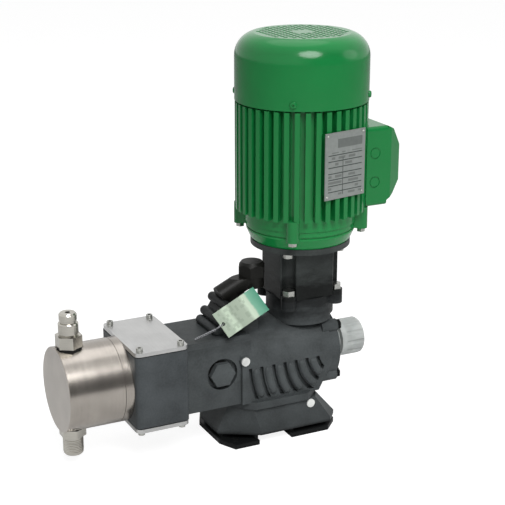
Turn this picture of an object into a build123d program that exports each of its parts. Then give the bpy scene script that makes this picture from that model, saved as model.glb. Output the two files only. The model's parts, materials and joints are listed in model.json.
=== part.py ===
"""Motor-driven metering pump: vertical motor, worm gearbox, lantern and liquid end.

Millimetres. +X runs along the pump axis away from the head, +Z is up.
The origin is the centre of the bolt pattern on the underside of the base.
"""
from build123d import *
from math import cos, pi, radians, sin, sqrt
import os

# ---- driving dimensions ---------------------------------------------------
PUMP_Z = 84.0            # height of the pump axis over the floor
MOTOR_X = 40.0           # motor axis, on the pump's middle plane
FIT = 0.05               # radial running clearance

# base
BASE_X = 67.5            # half length of the foot plates
BASE_Y = 46.0            # half width
FOOT_T = 5.0             # foot plate thickness
RIM_Z0, RIM_Z1 = 10.0, 14.0
BASE_TOP = 40.0
BOLT_X, BOLT_Y = 52.0, 34.0
BOLT_R = 4.5
PAD_X0, PAD_X1 = -30.0, 8.0    # raised stretch between the feet

# gear housing
BODY_R = 42.0            # barrel radius and half width of the lower body
BODY_X0, BODY_X1 = -48.0, 58.0
REAR_X = 62.0            # rear joint face
NECK_X0 = -110.0         # joint with the lantern
NECK_Y = 38.0
NECK_Z0, NECK_Z1 = 47.0, 121.0
BORE_R = 24.0            # crosshead bore in the neck
CHAMBER_X0 = -48.0
CHAMBER_Y = 28.0
CHAMBER_Z0 = 52.0
CHAMBER_R = 34.0
REAR_BORE_R = 31.5
RIB_CENTRE = (65.0, 90.0)      # centre of the curved cooling grooves, seen from the side
RIB_RADII = (25.0, 38.0, 51.0, 64.0, 77.0, 91.0, 104.0)
RIB_GAP = 4.0
RIB_DEPTH = 5.0
TOWER_R = 36.0
JOINT_Z = 148.5          # joint of the gear housing and the motor adapter
EAR_R, EAR_PITCH_R = 8.0, 39.0
ADAPTER_HALF, ADAPTER_CHAMFER = 34.0, 13.0
ADAPTER_BORE_R = 26.0
CHANNEL_R = 7.6            # corner channels of the adapter
FLANGE_BOLT_R = 42.5       # bolt circle radius of the motor flange
REAR_BOLT_R = 39.0       # bolt circle radius of the rear cover

# worm gear
MODULE = 1.75
TEETH = 28
WORM_PITCH_R = 7.5
WHEEL_PITCH_R = MODULE * TEETH / 2
WHEEL_X = MOTOR_X - WORM_PITCH_R - WHEEL_PITCH_R
WORM_PITCH = pi * MODULE
WORM_TIP_R = 9.1
WORM_ROOT_R = 5.6
WORM_TURNS = 7
WHEEL_TIP_R = WHEEL_PITCH_R + 1.4
WHEEL_ROOT_R = WHEEL_PITCH_R - 2.1
WHEEL_HALF = 6.0
CAM_R = 16.0
CAM_THROW = 5.0          # eccentricity, half the stroke
STROKE = 2 * CAM_THROW
CAM_Y0, CAM_Y1 = 9.0, 19.0
SHAFT_R = 6.0
HUB_R = 8.0
BEARING_R, BEARING_W = 14.0, 8.0

# crosshead and stroke stop
FOLLOWER_X = WHEEL_X - CAM_R - CAM_THROW - 0.6
CROSS_X0, CROSS_X1 = -76.0, -36.0
ROD_R = 8.0
ROD_X0 = -171.0
SPRING_R, WIRE_R, COILS = 15.0, 1.25, 5
STOP_Y, STOP_Z, STOP_R = 12.0, 108.3, 2.4
BRIDGE_X0, BRIDGE_X1 = 60.2, 64.0
SPINDLE_R = 5.0
COVER_X1 = 69.0          # outer face of the rear cover
KNOB_X0, KNOB_X1, KNOB_R = 84.0, 112.0, 20.0

# lantern and liquid end
LAN_X0, LAN_X1 = -167.0, NECK_X0
LAN_Y = 48.0
LAN_Z0, LAN_Z1 = 46.0, 122.0
LAN_WALL = 8.0
PLATE_T, GASKET_T = 4.0, 1.0
HEAD_R = 43.5
RING_X0 = -176.0         # backing ring joint: the seam of the cylinder
HEAD_X0 = -234.0
DIAPHRAGM_R, DIAPHRAGM_T = 32.0, 2.5
CHAMBER_HEAD_R = 24.0
VALVE_X = -219.0
VALVE_BORE_R = 10.4
SEAT_R = 8.0
BALL_R = 5.5
PORT_R = 5.0
SPOT_R, SPOT_H = 14.1, 41.7    # flat under each valve: radius, height over the axis
HEX_AF = 24.0

# motor
FLANGE_Z = 208.0         # joint of the motor adapter and the motor
FLANGE_R = 52.5
FLANGE_T = 6.0
SHIELD_TOP = 228.6       # parting line of the end shield and the frame
SEAT_Z = 213.0           # lower motor bearing
FIN_Z0, FIN_Z1 = 241.0, 353.0
FRAME_R = 59.0
FRAME_BORE_R = 53.0
FIN_R = 68.5
FINS = 40
FIN_W = 5.2
COVER_R = 69.0
COVER_Z0, COVER_Z1 = 354.6, 422.6
GRILLE_R = 50.0
LUG_ANGLE = -35.0        # first lug, from -Y towards +X
STATOR_Z0, STATOR_Z1 = 252.0, 330.0
ROTOR_R = 30.6
MOTOR_SHAFT_R = 7.0
BOX_X0, BOX_X1, LID_X1 = 92.0, 118.0, 138.0
BOX_Y = 44.0
BOX_Z0, BOX_Z1 = 243.0, 327.0
BOX_FLOOR_X = 109.0      # flat pad on the frame, just proud of the fins
PAD_Y, PAD_Z0, PAD_Z1 = 30.0, 253.0, 317.0
KNOCKOUT_X = 103.0
KNOCKOUT_Z = (269.0, 299.5)
KNOCKOUT_R = 6.0
NAMEPLATE_ANGLE = 11.0
PLATE_Y = FIN_R + 0.1    # back of the plate, from the motor axis
PLATE_HALF = 26.0
PLATE_Z0, PLATE_Z1 = 265.0, 333.0


# ---- small shape helpers ---------------------------------------------------
def rod(x0, x1, radius, y=0.0, z=PUMP_Z):
    """Cylinder along X."""
    return Pos((x0 + x1) / 2, y, z) * Rot(0, 90, 0) * Cylinder(radius, abs(x1 - x0))


def post(z0, z1, radius, x=0.0, y=0.0):
    """Cylinder along Z."""
    return Pos(x, y, (z0 + z1) / 2) * Cylinder(radius, abs(z1 - z0))


def cross(y0, y1, radius, x, z=PUMP_Z):
    """Cylinder along Y."""
    return Pos(x, (y0 + y1) / 2, z) * Rot(90, 0, 0) * Cylinder(radius, abs(y1 - y0))


def slab(x0, x1, y0, y1, z0, z1):
    """Box by its limits."""
    centre = Pos((x0 + x1) / 2, (y0 + y1) / 2, (z0 + z1) / 2)
    return centre * Box(x1 - x0, y1 - y0, z1 - z0)


def prism(points, z0, z1):
    """Polygon in plan, extruded upwards."""
    face = make_face(Polyline(*points, close=True))
    return Pos(0, 0, z0) * extrude(face, z1 - z0)


def side_prism(points, y0, y1):
    """Polygon of (x, z) points, extruded along Y."""
    face = make_face(Polyline(*[(x, z) for x, z in points], close=True))
    return Pos(0, y1, 0) * Rot(90, 0, 0) * extrude(face, y1 - y0)


def turned(points, x=0.0, y=0.0):
    """Revolve of (radius, z) points about a vertical axis."""
    face = make_face(Polyline(*[(r, 0, z) for r, z in points], close=True))
    return Pos(x, y, 0) * revolve(face, Axis.Z)


def hexagon(z0, z1, across_flats, x=0.0, y=0.0, turn=0.0):
    face = RegularPolygon(across_flats / 2, 6, major_radius=False)
    return Pos(x, y, z0) * Rot(0, 0, turn) * extrude(face, z1 - z0)


def socket_screw_x(x_head, x_tip, y, z, radius, inward=1):
    """Socket cap screw along X: head outside x_head, shank to x_tip."""
    head_h = 1.9 * radius
    head = rod(x_head, x_head - inward * head_h, 1.7 * radius, y, z)
    socket = rod(x_head - inward * head_h, x_head - inward * 0.45 * head_h, 0.9 * radius, y, z)
    return head + rod(x_head, x_tip, radius, y, z) - socket


def socket_screw_z(z_head, z_tip, x, y, radius, up=1):
    """Socket cap screw along Z: head on the side given by up."""
    head_h = 1.9 * radius
    head = post(z_head, z_head + up * head_h, 1.7 * radius, x, y)
    socket = post(z_head + up * head_h, z_head + up * 0.45 * head_h, 0.9 * radius, x, y)
    return head + post(z_head, z_tip, radius, x, y) - socket


def ring_x(x0, x1, outer, inner, y=0.0, z=PUMP_Z):
    return rod(x0, x1, outer, y, z) - rod(x0, x1, inner, y, z)


def ring_z(z0, z1, outer, inner, x=0.0, y=0.0):
    return post(z0, z1, outer, x, y) - post(z0, z1, inner, x, y)


def around(radius, count=4, first=45.0):
    """(x, y) offsets of a bolt circle."""
    step = 360.0 / count
    angles = [radians(first + step * i) for i in range(count)]
    return [(radius * cos(a), radius * sin(a)) for a in angles]


def mirrored(points):
    """Closes a plan outline, given for -Y from -X to +X, with its mirror image."""
    return points + [(x, -y) for x, y in reversed(points)]


# ---- base ------------------------------------------------------------------
FOOT_OUTLINE = mirrored([(-BASE_X, -26), (-58, -BASE_Y), (52, -BASE_Y), (BASE_X, -30)])
SKIRT_OUTLINE = mirrored([(-BASE_X, -22), (-28, -BASE_Y), (55, -BASE_Y), (BASE_X, -30)])
TOP_OUTLINE = mirrored([(-55, -21), (-36, -42), (38, -42), (45, -30)])


def base():
    skirt = loft([
        Pos(0, 0, RIM_Z1) * make_face(Polyline(*SKIRT_OUTLINE, close=True)),
        Pos(0, 0, BASE_TOP) * make_face(Polyline(*TOP_OUTLINE, close=True)),
    ], ruled=True)
    rim = prism(SKIRT_OUTLINE, RIM_Z0, RIM_Z1)
    feet = prism(FOOT_OUTLINE, 0, FOOT_T) - slab(PAD_X0, PAD_X1, -60, 60, -1, FOOT_T + 1)
    legs = slab(-BASE_X + 4, PAD_X0, -22, 22, 0, RIM_Z0 + 1)
    legs += slab(PAD_X1, BASE_X - 4, -22, 22, 0, RIM_Z0 + 1)
    legs += slab(PAD_X0 - 4, PAD_X0, -BASE_Y + 4, BASE_Y - 4, 0, RIM_Z0 + 1)
    legs += slab(PAD_X1, PAD_X1 + 4, -BASE_Y + 4, BASE_Y - 4, 0, RIM_Z0 + 1)
    body = skirt + rim + feet + legs
    for x in (-BOLT_X, BOLT_X):
        for y in (-BOLT_Y, BOLT_Y):
            body -= post(-1, FOOT_T + 1, BOLT_R, x, y)
    for x, y in BASE_SCREWS:
        body -= post(-1, BASE_TOP + 1, 3.0, x, y)
        body -= post(-1, 26, 5.5, x, y)
    x, z = BASE_PLUG
    body -= cross(-BASE_Y - 1, -PLUG_SEAT_Y, 5.2, x, z)
    body -= cross(-PLUG_SEAT_Y - 1, -PLUG_SEAT_Y + 4, 3, x, z)
    return body


BASE_SCREWS = [(-22, -14), (-22, 14), (22, -14), (22, 14)]


def base_screws():
    return [socket_screw_z(26, 51, x, y, 3.0, up=-1) for x, y in BASE_SCREWS]


# ---- gear housing ----------------------------------------------------------
PLUG_X = -69.0
PLUG_RECESS_R = 17.0
BODY_PLUG = (-44.6, 95.0)      # white plugs: one on the housing, one on the base
BASE_PLUG = (32.0, 34.0)
PLUG_SEAT_Y = 42.4


def leaning_body():
    """Lower body and barrel, cut off along the rear edge that leans in to the base."""
    lower = slab(BODY_X0, BODY_X1, -BODY_R, BODY_R, 47, PUMP_Z)
    body = lower + rod(BODY_X0, BODY_X1, BODY_R)
    return body - side_prism([(40, 35), (40, 43), (60, 80), (75, 80), (75, 35)], -50, 50)


def cooling_grooves():
    """Concentric curved grooves in the near side face."""
    cx, cz = RIB_CENTRE
    window = side_prism([(-45, 50), (37, 50), (51, 78), (48, 86), (-45, 86)], -60, 60)
    grooves = []
    for radius in RIB_RADII:
        tube = cross(-BODY_R - 1, -BODY_R + RIB_DEPTH, radius + RIB_GAP / 2, cx, cz)
        tube -= cross(-BODY_R - 2, -BODY_R + RIB_DEPTH + 1, radius - RIB_GAP / 2, cx, cz)
        grooves.append(tube & window)
    return grooves


def shoulder():
    """Sloping front shoulder over the neck, with three rounded cross ribs."""
    body = side_prism([(-66, 118), (-64, 128), (-50, FILLER_Z0), (-20, FILLER_Z0), (-20, 118)], -22, 22)
    for x, z in RIB_SPOTS:
        body += cross(-RIB_END, RIB_END, RIB_R, x, z)
        body += Pos(x, -RIB_END, z) * Sphere(RIB_R)
        body += Pos(x, RIB_END, z) * Sphere(RIB_R)
    return body


RIB_SPOTS = ((-53.0, 148.0), (-62.0, 134.0), (-67.0, 124.5))
RIB_R, RIB_END = 5.0, 20.4
FILLER_X, FILLER_Z0 = -42.0, 150.0
CAP_X, CAP_Z = -17.0, 172.0
BARREL_R = 10.6


def housing_solid():
    """Outside of the gear housing."""
    body = leaning_body()
    neck = slab(NECK_X0, BODY_X0 + 12, -NECK_Y, NECK_Y, NECK_Z0, NECK_Z1)
    neck = chamfer(neck.edges().filter_by(Axis.X).sort_by(Axis.Z)[-2:], 5)
    body += neck
    body += post(BASE_TOP, 48, 55, -3, 0) & slab(-60, 46, -46, BODY_R, BASE_TOP, 48)
    body += shoulder()
    body += post(120, JOINT_Z, TOWER_R, MOTOR_X) & slab(0, REAR_X, -50, 50, 100, JOINT_Z)
    body += post(126, JOINT_Z, TOWER_R, MOTOR_X)
    body += post(41, 75, 17, MOTOR_X)
    for dx, dy in around(EAR_PITCH_R):
        ear = post(JOINT_Z - 10, JOINT_Z, EAR_R, MOTOR_X + dx, dy)
        web = Pos(MOTOR_X + dx * 0.8, dy * 0.8, JOINT_Z - 5) * Rot(0, 0, degrees_of(dx, dy)) * Box(20, 16, 10)
        body += ear + web
    body += rod(BODY_X1 - 5, REAR_X, 40)
    for dy, dz in around(REAR_BOLT_R):
        body += rod(BODY_X1 - 8, REAR_X, 7, dy, PUMP_Z + dz)
    body += cross(0, BODY_R, 38, WHEEL_X) & slab(-60, 46, 0, BODY_R, BASE_TOP, 130)
    x, z = BODY_PLUG
    return body + cross(-BODY_R, -35, 5.2, x, z)


def gear_housing():
    body = housing_solid()
    # chamber, bores and bearing seats
    lower = side_prism([(CHAMBER_X0, CHAMBER_Z0), (37, CHAMBER_Z0), (48, 72), (50, PUMP_Z),
                        (CHAMBER_X0, PUMP_Z)], -CHAMBER_Y, CHAMBER_Y)
    upper = rod(CHAMBER_X0, 50, CHAMBER_R) & slab(CHAMBER_X0, 50, -CHAMBER_Y, CHAMBER_Y, PUMP_Z, 130)
    body -= lower + upper
    body -= rod(49, REAR_X, REAR_BORE_R) & side_prism([(45, 62), (49, 68), (54, 75), (63, 75), (63, 130), (45, 130)], -50, 50)
    body -= rod(58, REAR_X + 1, REAR_BORE_R)
    body -= rod(NECK_X0 - 1, CHAMBER_X0 + 1, BORE_R)
    body -= cross(-CHAMBER_Y - BEARING_W, 0, BEARING_R, WHEEL_X)
    body -= cross(0, BODY_R + 1, 32, WHEEL_X)
    body -= post(44, 80, 13, MOTOR_X)
    body -= post(110, 137, 17.5, MOTOR_X)
    body -= post(137, JOINT_Z + 1, 24, MOTOR_X)
    for groove in cooling_grooves():
        body -= groove
    # plug recess and bores, filler bore, bolt holes
    body -= cross(-NECK_Y - 1, -NECK_Y + 5, PLUG_RECESS_R, PLUG_X)
    body -= cross(-NECK_Y, 0, 8, PLUG_X)
    body -= post(100, FILLER_Z0 + 5, 6, FILLER_X)
    x, z = BODY_PLUG
    body -= cross(-BODY_R - 1, -BODY_R + 4, 3, x, z)
    for dx, dy in around(EAR_PITCH_R):
        body -= post(JOINT_Z - 11, JOINT_Z + 1, 4, MOTOR_X + dx, dy)
    for dy, dz in around(REAR_BOLT_R):
        body -= rod(REAR_X - 11, REAR_X + 1, 3, dy, PUMP_Z + dz)
    for x, y in BASE_SCREWS:
        body -= post(BASE_TOP - 1, 51, 3, x, y)
    for dx, dz in around(35, 6, 30):
        body -= cross(30, BODY_R + 1, 2.5, WHEEL_X + dx, PUMP_Z + dz)
    for y in (-30, 30):
        for z in (PUMP_Z - 28, PUMP_Z + 28):
            body -= rod(NECK_X0 - 1, NECK_X0 + 15, 3, y, z)
    return body


def degrees_of(dx, dy):
    """Plan direction of an offset, in degrees."""
    return Vector(1, 0, 0).get_signed_angle(Vector(dx, dy, 0), Vector(0, 0, 1))


def filler_neck():
    """Black breather elbow: a foot, a leaning barrel and an upright collar."""
    start = (-54.5, 0, 154.5)
    end = (CAP_X, 0, CAP_Z)
    run = Line(start, end)
    barrel = sweep(Plane(origin=start, z_dir=run % 0) * Circle(BARREL_R), run)
    barrel += post(FILLER_Z0, 160, BARREL_R, FILLER_X)
    barrel += post(161, CAP_Z, 13, CAP_X) - post(165, CAP_Z, 6, CAP_X)
    barrel &= slab(-80, 0, -20, 20, FILLER_Z0, CAP_Z)
    barrel -= post(165, CAP_Z + 1, 6, CAP_X)
    x, z = RIB_SPOTS[0]
    barrel -= cross(-30, 30, RIB_R, x, z)
    return barrel + post(FILLER_Z0 - 10, FILLER_Z0 + 1, 6, FILLER_X)


def filler_cap():
    """Hexagonal screw cap with a rounded crown and a plug that enters the collar."""
    z0 = CAP_Z + 0.2
    crown = [(0, z0), (14.4, z0), (15, z0 + 1), (15, 183), (11, 188), (0, 188)]
    cap = hexagon(z0, 188, 26, CAP_X) & turned(crown, CAP_X)
    return cap + post(165.3, z0, 6 - FIT, CAP_X)


def oil_plug():
    head = Pos(PLUG_X, -NECK_Y + 1.2, PUMP_Z) * Rot(90, 0, 0) * Pos(0, 0, -2.3)
    hexa = head * extrude(RegularPolygon(12, 6, major_radius=False), 6)
    return hexa + cross(-NECK_Y + 3.5, -NECK_Y + 12.5, 8, PLUG_X)


def oil_plug_washer():
    return cross(-NECK_Y + 3.5, -NECK_Y + 5, 13.5, PLUG_X) - cross(-NECK_Y + 3, -NECK_Y + 6, 8, PLUG_X)


def white_plugs():
    caps = []
    for (x, z), y in ((BODY_PLUG, -BODY_R), (BASE_PLUG, -PLUG_SEAT_Y)):
        caps.append(cross(y - 1.4, y, 4.6, x, z) + cross(y, y + 4, 3, x, z))
    return caps


def side_cover():
    body = cross(BODY_R, BODY_R + 4, 38, WHEEL_X) + cross(CHAMBER_Y, BODY_R, 32 - 0.02, WHEEL_X)
    body += cross(BODY_R, BODY_R + 5.5, 20, WHEEL_X)
    body -= cross(CHAMBER_Y - 1, CHAMBER_Y + BEARING_W, BEARING_R, WHEEL_X)
    for dx, dz in around(35, 6, 30):
        body -= cross(BODY_R - 1, BODY_R + 9, 2.5, WHEEL_X + dx, PUMP_Z + dz)
    for dx, dz in around(35, 6, 30):
        body -= cross(20, BODY_R, 3.1, WHEEL_X + dx, PUMP_Z + dz)
    return body


def side_cover_screws():
    screws = []
    for dx, dz in around(35, 6, 30):
        x, z = WHEEL_X + dx, PUMP_Z + dz
        head = cross(BODY_R + 4, BODY_R + 8, 4, x, z) - cross(BODY_R + 6, BODY_R + 9, 2, x, z)
        screws.append(head + cross(31, BODY_R + 4, 2.5, x, z))
    return screws


def rear_cover():
    body = rod(REAR_X, COVER_X1, 40)
    for dy, dz in around(REAR_BOLT_R):
        body += rod(REAR_X, COVER_X1, 7, dy, PUMP_Z + dz)
    body -= rod(REAR_X - 1, REAR_X + 3, REAR_BORE_R)
    body -= rod(REAR_X, COVER_X1 + 1, SPINDLE_R + FIT)
    for dy, dz in around(REAR_BOLT_R):
        body -= rod(REAR_X - 1, COVER_X1 + 1, 3, dy, PUMP_Z + dz)
    return body


def rear_cover_bolts():
    bolts = []
    for dy, dz in around(REAR_BOLT_R):
        head = Pos(COVER_X1, dy, PUMP_Z + dz) * Rot(0, 90, 0)
        hexa = head * extrude(RegularPolygon(5, 6, major_radius=False), 4.5)
        bolts.append(hexa + rod(REAR_X - 10, COVER_X1, 3, dy, PUMP_Z + dz))
    return bolts


# ---- worm gear, camshaft and bearings --------------------------------------
def worm_shaft():
    """Shaft with one right-hand thread, as tall as the wheel needs."""
    height = WORM_PITCH * WORM_TURNS
    z0 = PUMP_Z - WORM_PITCH * (WORM_TURNS // 2 + 0.5)
    path = Helix(WORM_PITCH, height, WORM_ROOT_R)
    depth = WORM_TIP_R - WORM_ROOT_R
    section = Plane(origin=path @ 0, x_dir=(1, 0, 0), z_dir=path % 0)
    thread_face = section * make_face(Polyline(
        (-0.6, -1.75), (depth, -0.62), (depth, 0.62), (-0.6, 1.75), close=True))
    thread = sweep(thread_face, path, is_frenet=True)
    thread = Pos(MOTOR_X, 0, z0) * thread
    shaft = post(52, 118, WORM_ROOT_R, MOTOR_X)
    shaft += post(44.5, 52, 5 - 0.02, MOTOR_X)
    shaft += post(118, 172, MOTOR_SHAFT_R, MOTOR_X)
    return shaft + thread


def worm_bearings():
    return [ring_z(44, 52, 13, 5, MOTOR_X), ring_z(118, 129, 17.5, MOTOR_SHAFT_R + 0.02, MOTOR_X)]


def worm_oil_seal():
    return ring_z(130, 136, 17.5, MOTOR_SHAFT_R + 0.05, MOTOR_X)


def worm_wheel():
    wheel = cross(-WHEEL_HALF, WHEEL_HALF, WHEEL_ROOT_R, WHEEL_X)
    lead = atan_degrees(WORM_PITCH, 2 * pi * WORM_PITCH_R)
    depth = WHEEL_TIP_R - WHEEL_ROOT_R
    face = make_face(Polyline(
        (-1, 1.85), (depth, 0.62), (depth, -0.62), (-1, -1.85), close=True))
    length = 2 * WHEEL_HALF
    tooth = Pos(WHEEL_ROOT_R, 0, 0) * Rot(-lead, 0, 0) * Pos(0, WHEEL_HALF, 0) * Rot(90, 0, 0) * extrude(face, length)
    centre = Pos(WHEEL_X, 0, PUMP_Z)
    teeth = [centre * Rot(0, (i + 0.5) * 360 / TEETH, 0) * tooth for i in range(TEETH)]
    body = wheel + teeth
    body &= cross(-WHEEL_HALF, WHEEL_HALF, WHEEL_TIP_R, WHEEL_X)
    for side in (-1, 1):
        body -= cross(side * 4, side * (WHEEL_HALF + 1), 19, WHEEL_X) - cross(-9, 9, 13, WHEEL_X)
    return body - cross(-9, 9, HUB_R, WHEEL_X)


def atan_degrees(rise, run):
    return Vector(run, 0, 0).get_angle(Vector(run, rise, 0))


def camshaft():
    """Camshaft with two eccentrics; their low side faces the head at rest."""
    shaft = cross(-CHAMBER_Y - 7, CHAMBER_Y + 7, SHAFT_R - 0.02, WHEEL_X)
    shaft += cross(-CHAMBER_Y, CHAMBER_Y, HUB_R, WHEEL_X)
    for side in (-1, 1):
        shaft += cross(side * CAM_Y0, side * CAM_Y1, CAM_R, WHEEL_X + CAM_THROW)
    return shaft


def camshaft_bearings():
    pair = []
    for side in (-1, 1):
        y0, y1 = side * CHAMBER_Y, side * (CHAMBER_Y + BEARING_W)
        pair.append(cross(y0, y1, BEARING_R, WHEEL_X) - cross(y0, y1, SHAFT_R, WHEEL_X))
    return pair


# ---- crosshead, push rod and stroke stop -----------------------------------
def crosshead():
    """Guide piston with two follower pads that straddle the worm wheel."""
    body = rod(CROSS_X0, CROSS_X1, BORE_R - FIT)
    body -= rod(CROSS_X0 + 8, CROSS_X1 + 1, 17)
    body += rod(CROSS_X1 - 5, CROSS_X1, 20)
    for side in (-1, 1):
        y0, y1 = sorted((side * 8.6, side * 19.0))
        body += slab(CROSS_X1 - 2, FOLLOWER_X, y0, y1, PUMP_Z - 7, PUMP_Z + 7)
        y0, y1 = sorted((side * 8.6, side * 15.4))
        body += slab(CROSS_X1, CROSS_X1 + 6, y0, y1, PUMP_Z, STOP_Z + 2.4)
    return body


def push_rod():
    body = rod(ROD_X0, CROSS_X0, ROD_R) + rod(ROD_X0 - 4.5, ROD_X0, 13)
    return body


def return_spring():
    length = CROSS_X0 - SEAL_X1 - 2 * WIRE_R - 0.2
    path = Helix(length / COILS, length, SPRING_R)
    section = Plane(origin=path @ 0, z_dir=path % 0) * RegularPolygon(WIRE_R, 8)
    wire = sweep(section, path, is_frenet=True)
    return Pos(SEAL_X1 + WIRE_R + 0.1, 0, PUMP_Z) * Rot(0, 90, 0) * wire


SEAL_X0, SEAL_X1 = -110.0, -98.0


def seal_carrier():
    body = ring_x(SEAL_X0, SEAL_X1, BORE_R, ROD_R + FIT)
    body -= rod(SEAL_X0 - 1, SEAL_X0 + 6, 13)
    return body


def rod_seal():
    return ring_x(SEAL_X0 + 1, SEAL_X0 + 6, 13, ROD_R + 0.03)


def stop_fork():
    """Two stop rods either side of the worm, joined by a bridge behind it."""
    body = slab(BRIDGE_X0, BRIDGE_X1, -14.5, 14.5, PUMP_Z - 8, STOP_Z + 2.4)
    for side in (-1, 1):
        body += rod(-19.0, BRIDGE_X0 + 1, STOP_R, side * STOP_Y, STOP_Z)
    return body - rod(BRIDGE_X0 + 1.5, BRIDGE_X1 + 1, SPINDLE_R + FIT)


def stroke_spindle():
    return rod(BRIDGE_X0 + 1.6, KNOB_X1 - 6, SPINDLE_R) + rod(COVER_X1 + 18, KNOB_X1 - 6, 4)


def scale_sleeve():
    body = rod(COVER_X1, COVER_X1 + 23, 14) - rod(COVER_X1 - 1, COVER_X1 + 24, 8)
    for i in range(5):
        x = COVER_X1 + 8 + 3 * i
        body -= ring_x(x, x + 0.5, 15, 13.6)
    return body


def stroke_knob():
    """Fluted cup that runs over the scale sleeve."""
    body = rod(KNOB_X0, KNOB_X1, KNOB_R)
    body = fillet(body.edges().group_by(Axis.X)[-1], 3)
    body -= rod(KNOB_X0 - 1, KNOB_X1 - 6, 15)
    body -= rod(KNOB_X1 - 7, KNOB_X1 - 4, SPINDLE_R)
    for dy, dz in around(KNOB_R + 1.5, 12, 0):
        body -= rod(KNOB_X0 + 6, KNOB_X1 + 1, 3, dy, PUMP_Z + dz)
    return body


# ---- lantern ----------------------------------------------------------------
def lantern_body():
    body = slab(LAN_X0, LAN_X1, -LAN_Y, LAN_Y, LAN_Z0, LAN_Z1)
    body = fillet(body.edges().filter_by(Axis.Z), 4)
    body -= slab(LAN_X0 + LAN_WALL, LAN_X1 - LAN_WALL, -LAN_Y + LAN_WALL, LAN_Y - LAN_WALL, 0, 200)
    for x in LAN_SCREW_X:
        for y in (-LAN_SCREW_Y, LAN_SCREW_Y):
            body += post(LAN_Z0, LAN_Z1, 5, x, y) & slab(LAN_X0, LAN_X1, -LAN_Y, LAN_Y, 0, 200)
            body -= post(LAN_Z0 - 1, LAN_Z0 + 11, 2, x, y) + post(LAN_Z1 - 11, LAN_Z1 + 1, 2, x, y)
    body -= rod(LAN_X0 - 1, LAN_X0 + LAN_WALL + 1, 22)
    body -= rod(LAN_X1 - LAN_WALL - 1, LAN_X1 + 1, 18)
    for dy, dz in around(37, 4, 45):
        body -= rod(LAN_X0 - 1, LAN_X0 + LAN_WALL + 1, 3, dy, PUMP_Z + dz)
    for y in (-30, 30):
        for z in (PUMP_Z - 28, PUMP_Z + 28):
            body -= rod(LAN_X1 - LAN_WALL - 1, LAN_X1 + 1, 3, y, z)
    return body


LAN_SCREW_X = (LAN_X0 + 6.5, LAN_X1 - 6.5)
LAN_SCREW_Y = LAN_Y - 6.5


def lantern_plate(z0, z1):
    plate = slab(LAN_X0, LAN_X1, -LAN_Y, LAN_Y, z0, z1)
    plate = fillet(plate.edges().filter_by(Axis.Z), 6)
    for x in LAN_SCREW_X:
        for y in (-LAN_SCREW_Y, LAN_SCREW_Y):
            plate -= post(z0 - 1, z1 + 1, 2, x, y)
    return plate


def lantern_gaskets():
    pair = []
    for z0, z1 in ((LAN_Z1, LAN_Z1 + GASKET_T), (LAN_Z0 - GASKET_T, LAN_Z0)):
        frame = lantern_plate(z0, z1)
        inner = slab(LAN_X0 + LAN_WALL, LAN_X1 - LAN_WALL, -LAN_Y + 12, LAN_Y - 12, z0 - 1, z1 + 1)
        frame = frame - inner
        pair.append(frame & slab(LAN_X0 + 0.8, LAN_X1 - 0.8, -LAN_Y + 0.8, LAN_Y - 0.8, z0, z1))
    return pair


def lantern_cover_top():
    z0 = LAN_Z1 + GASKET_T
    plate = lantern_plate(z0, z0 + PLATE_T)
    return plate


def lantern_cover_bottom():
    z1 = LAN_Z0 - GASKET_T
    return lantern_plate(z1 - PLATE_T, z1)


def lantern_screws(top):
    screws = []
    for x in LAN_SCREW_X:
        for y in (-LAN_SCREW_Y, LAN_SCREW_Y):
            if top:
                screws.append(socket_screw_z(LAN_Z1 + GASKET_T + PLATE_T, LAN_Z1 - 10, x, y, 2.0))
            else:
                screws.append(socket_screw_z(LAN_Z0 - GASKET_T - PLATE_T, LAN_Z0 + 10, x, y, 2.0, up=-1))
    return screws


def lantern_neck_screws():
    x_head = LAN_X1 - LAN_WALL
    spots = [(y, z) for y in (-30, 30) for z in (PUMP_Z - 28, PUMP_Z + 28)]
    return [socket_screw_x(x_head, NECK_X0 + 14, y, z, 3.0) for y, z in spots]


# ---- liquid end -------------------------------------------------------------
def backing_ring():
    body = ring_x(RING_X0, LAN_X0, HEAD_R, 22)
    for dy, dz in around(37, 4, 45):
        body -= rod(RING_X0 - 1, LAN_X0 + 1, 3, dy, PUMP_Z + dz)
    return body


def diaphragm():
    """Moulded disc with a rolled convolution; its middle is held by the rod."""
    disc = rod(RING_X0 - DIAPHRAGM_T, RING_X0, DIAPHRAGM_R)
    return disc


def pump_head():
    body = rod(HEAD_X0, RING_X0, HEAD_R)
    body = chamfer(body.edges().group_by(Axis.X)[0], 0.6)
    body = chamfer(body.edges().group_by(Axis.X)[-1], 0.5)
    body -= rod(RING_X0 - DIAPHRAGM_T, RING_X0 + 1, DIAPHRAGM_R)
    body -= rod(RING_X0 - DIAPHRAGM_T - STROKE - 2, RING_X0, CHAMBER_HEAD_R)
    body -= rod(VALVE_X, RING_X0 - 5, 4)
    body -= post(PUMP_Z - SPOT_H, PUMP_Z + SPOT_H, 4, VALVE_X)
    for side in (-1, 1):
        body -= post(PUMP_Z + side * 17.5, PUMP_Z + side * 50, VALVE_BORE_R, VALVE_X)
        body -= post(PUMP_Z + side * SPOT_H, PUMP_Z + side * 50, SPOT_R, VALVE_X)
    for dy, dz in around(37, 4, 45):
        body -= rod(RING_X0 - 16, RING_X0 + 1, 3, dy, PUMP_Z + dz)
    return body


def head_screws():
    x_head = LAN_X0 + LAN_WALL
    return [socket_screw_x(x_head, RING_X0 - 15, dy, PUMP_Z + dz, 3.0, inward=-1)
            for dy, dz in around(37, 4, 45)]


VALVE_TIP = 17.5         # inner end of a valve body, over the pump axis
SEAT_H = 4.0


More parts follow.
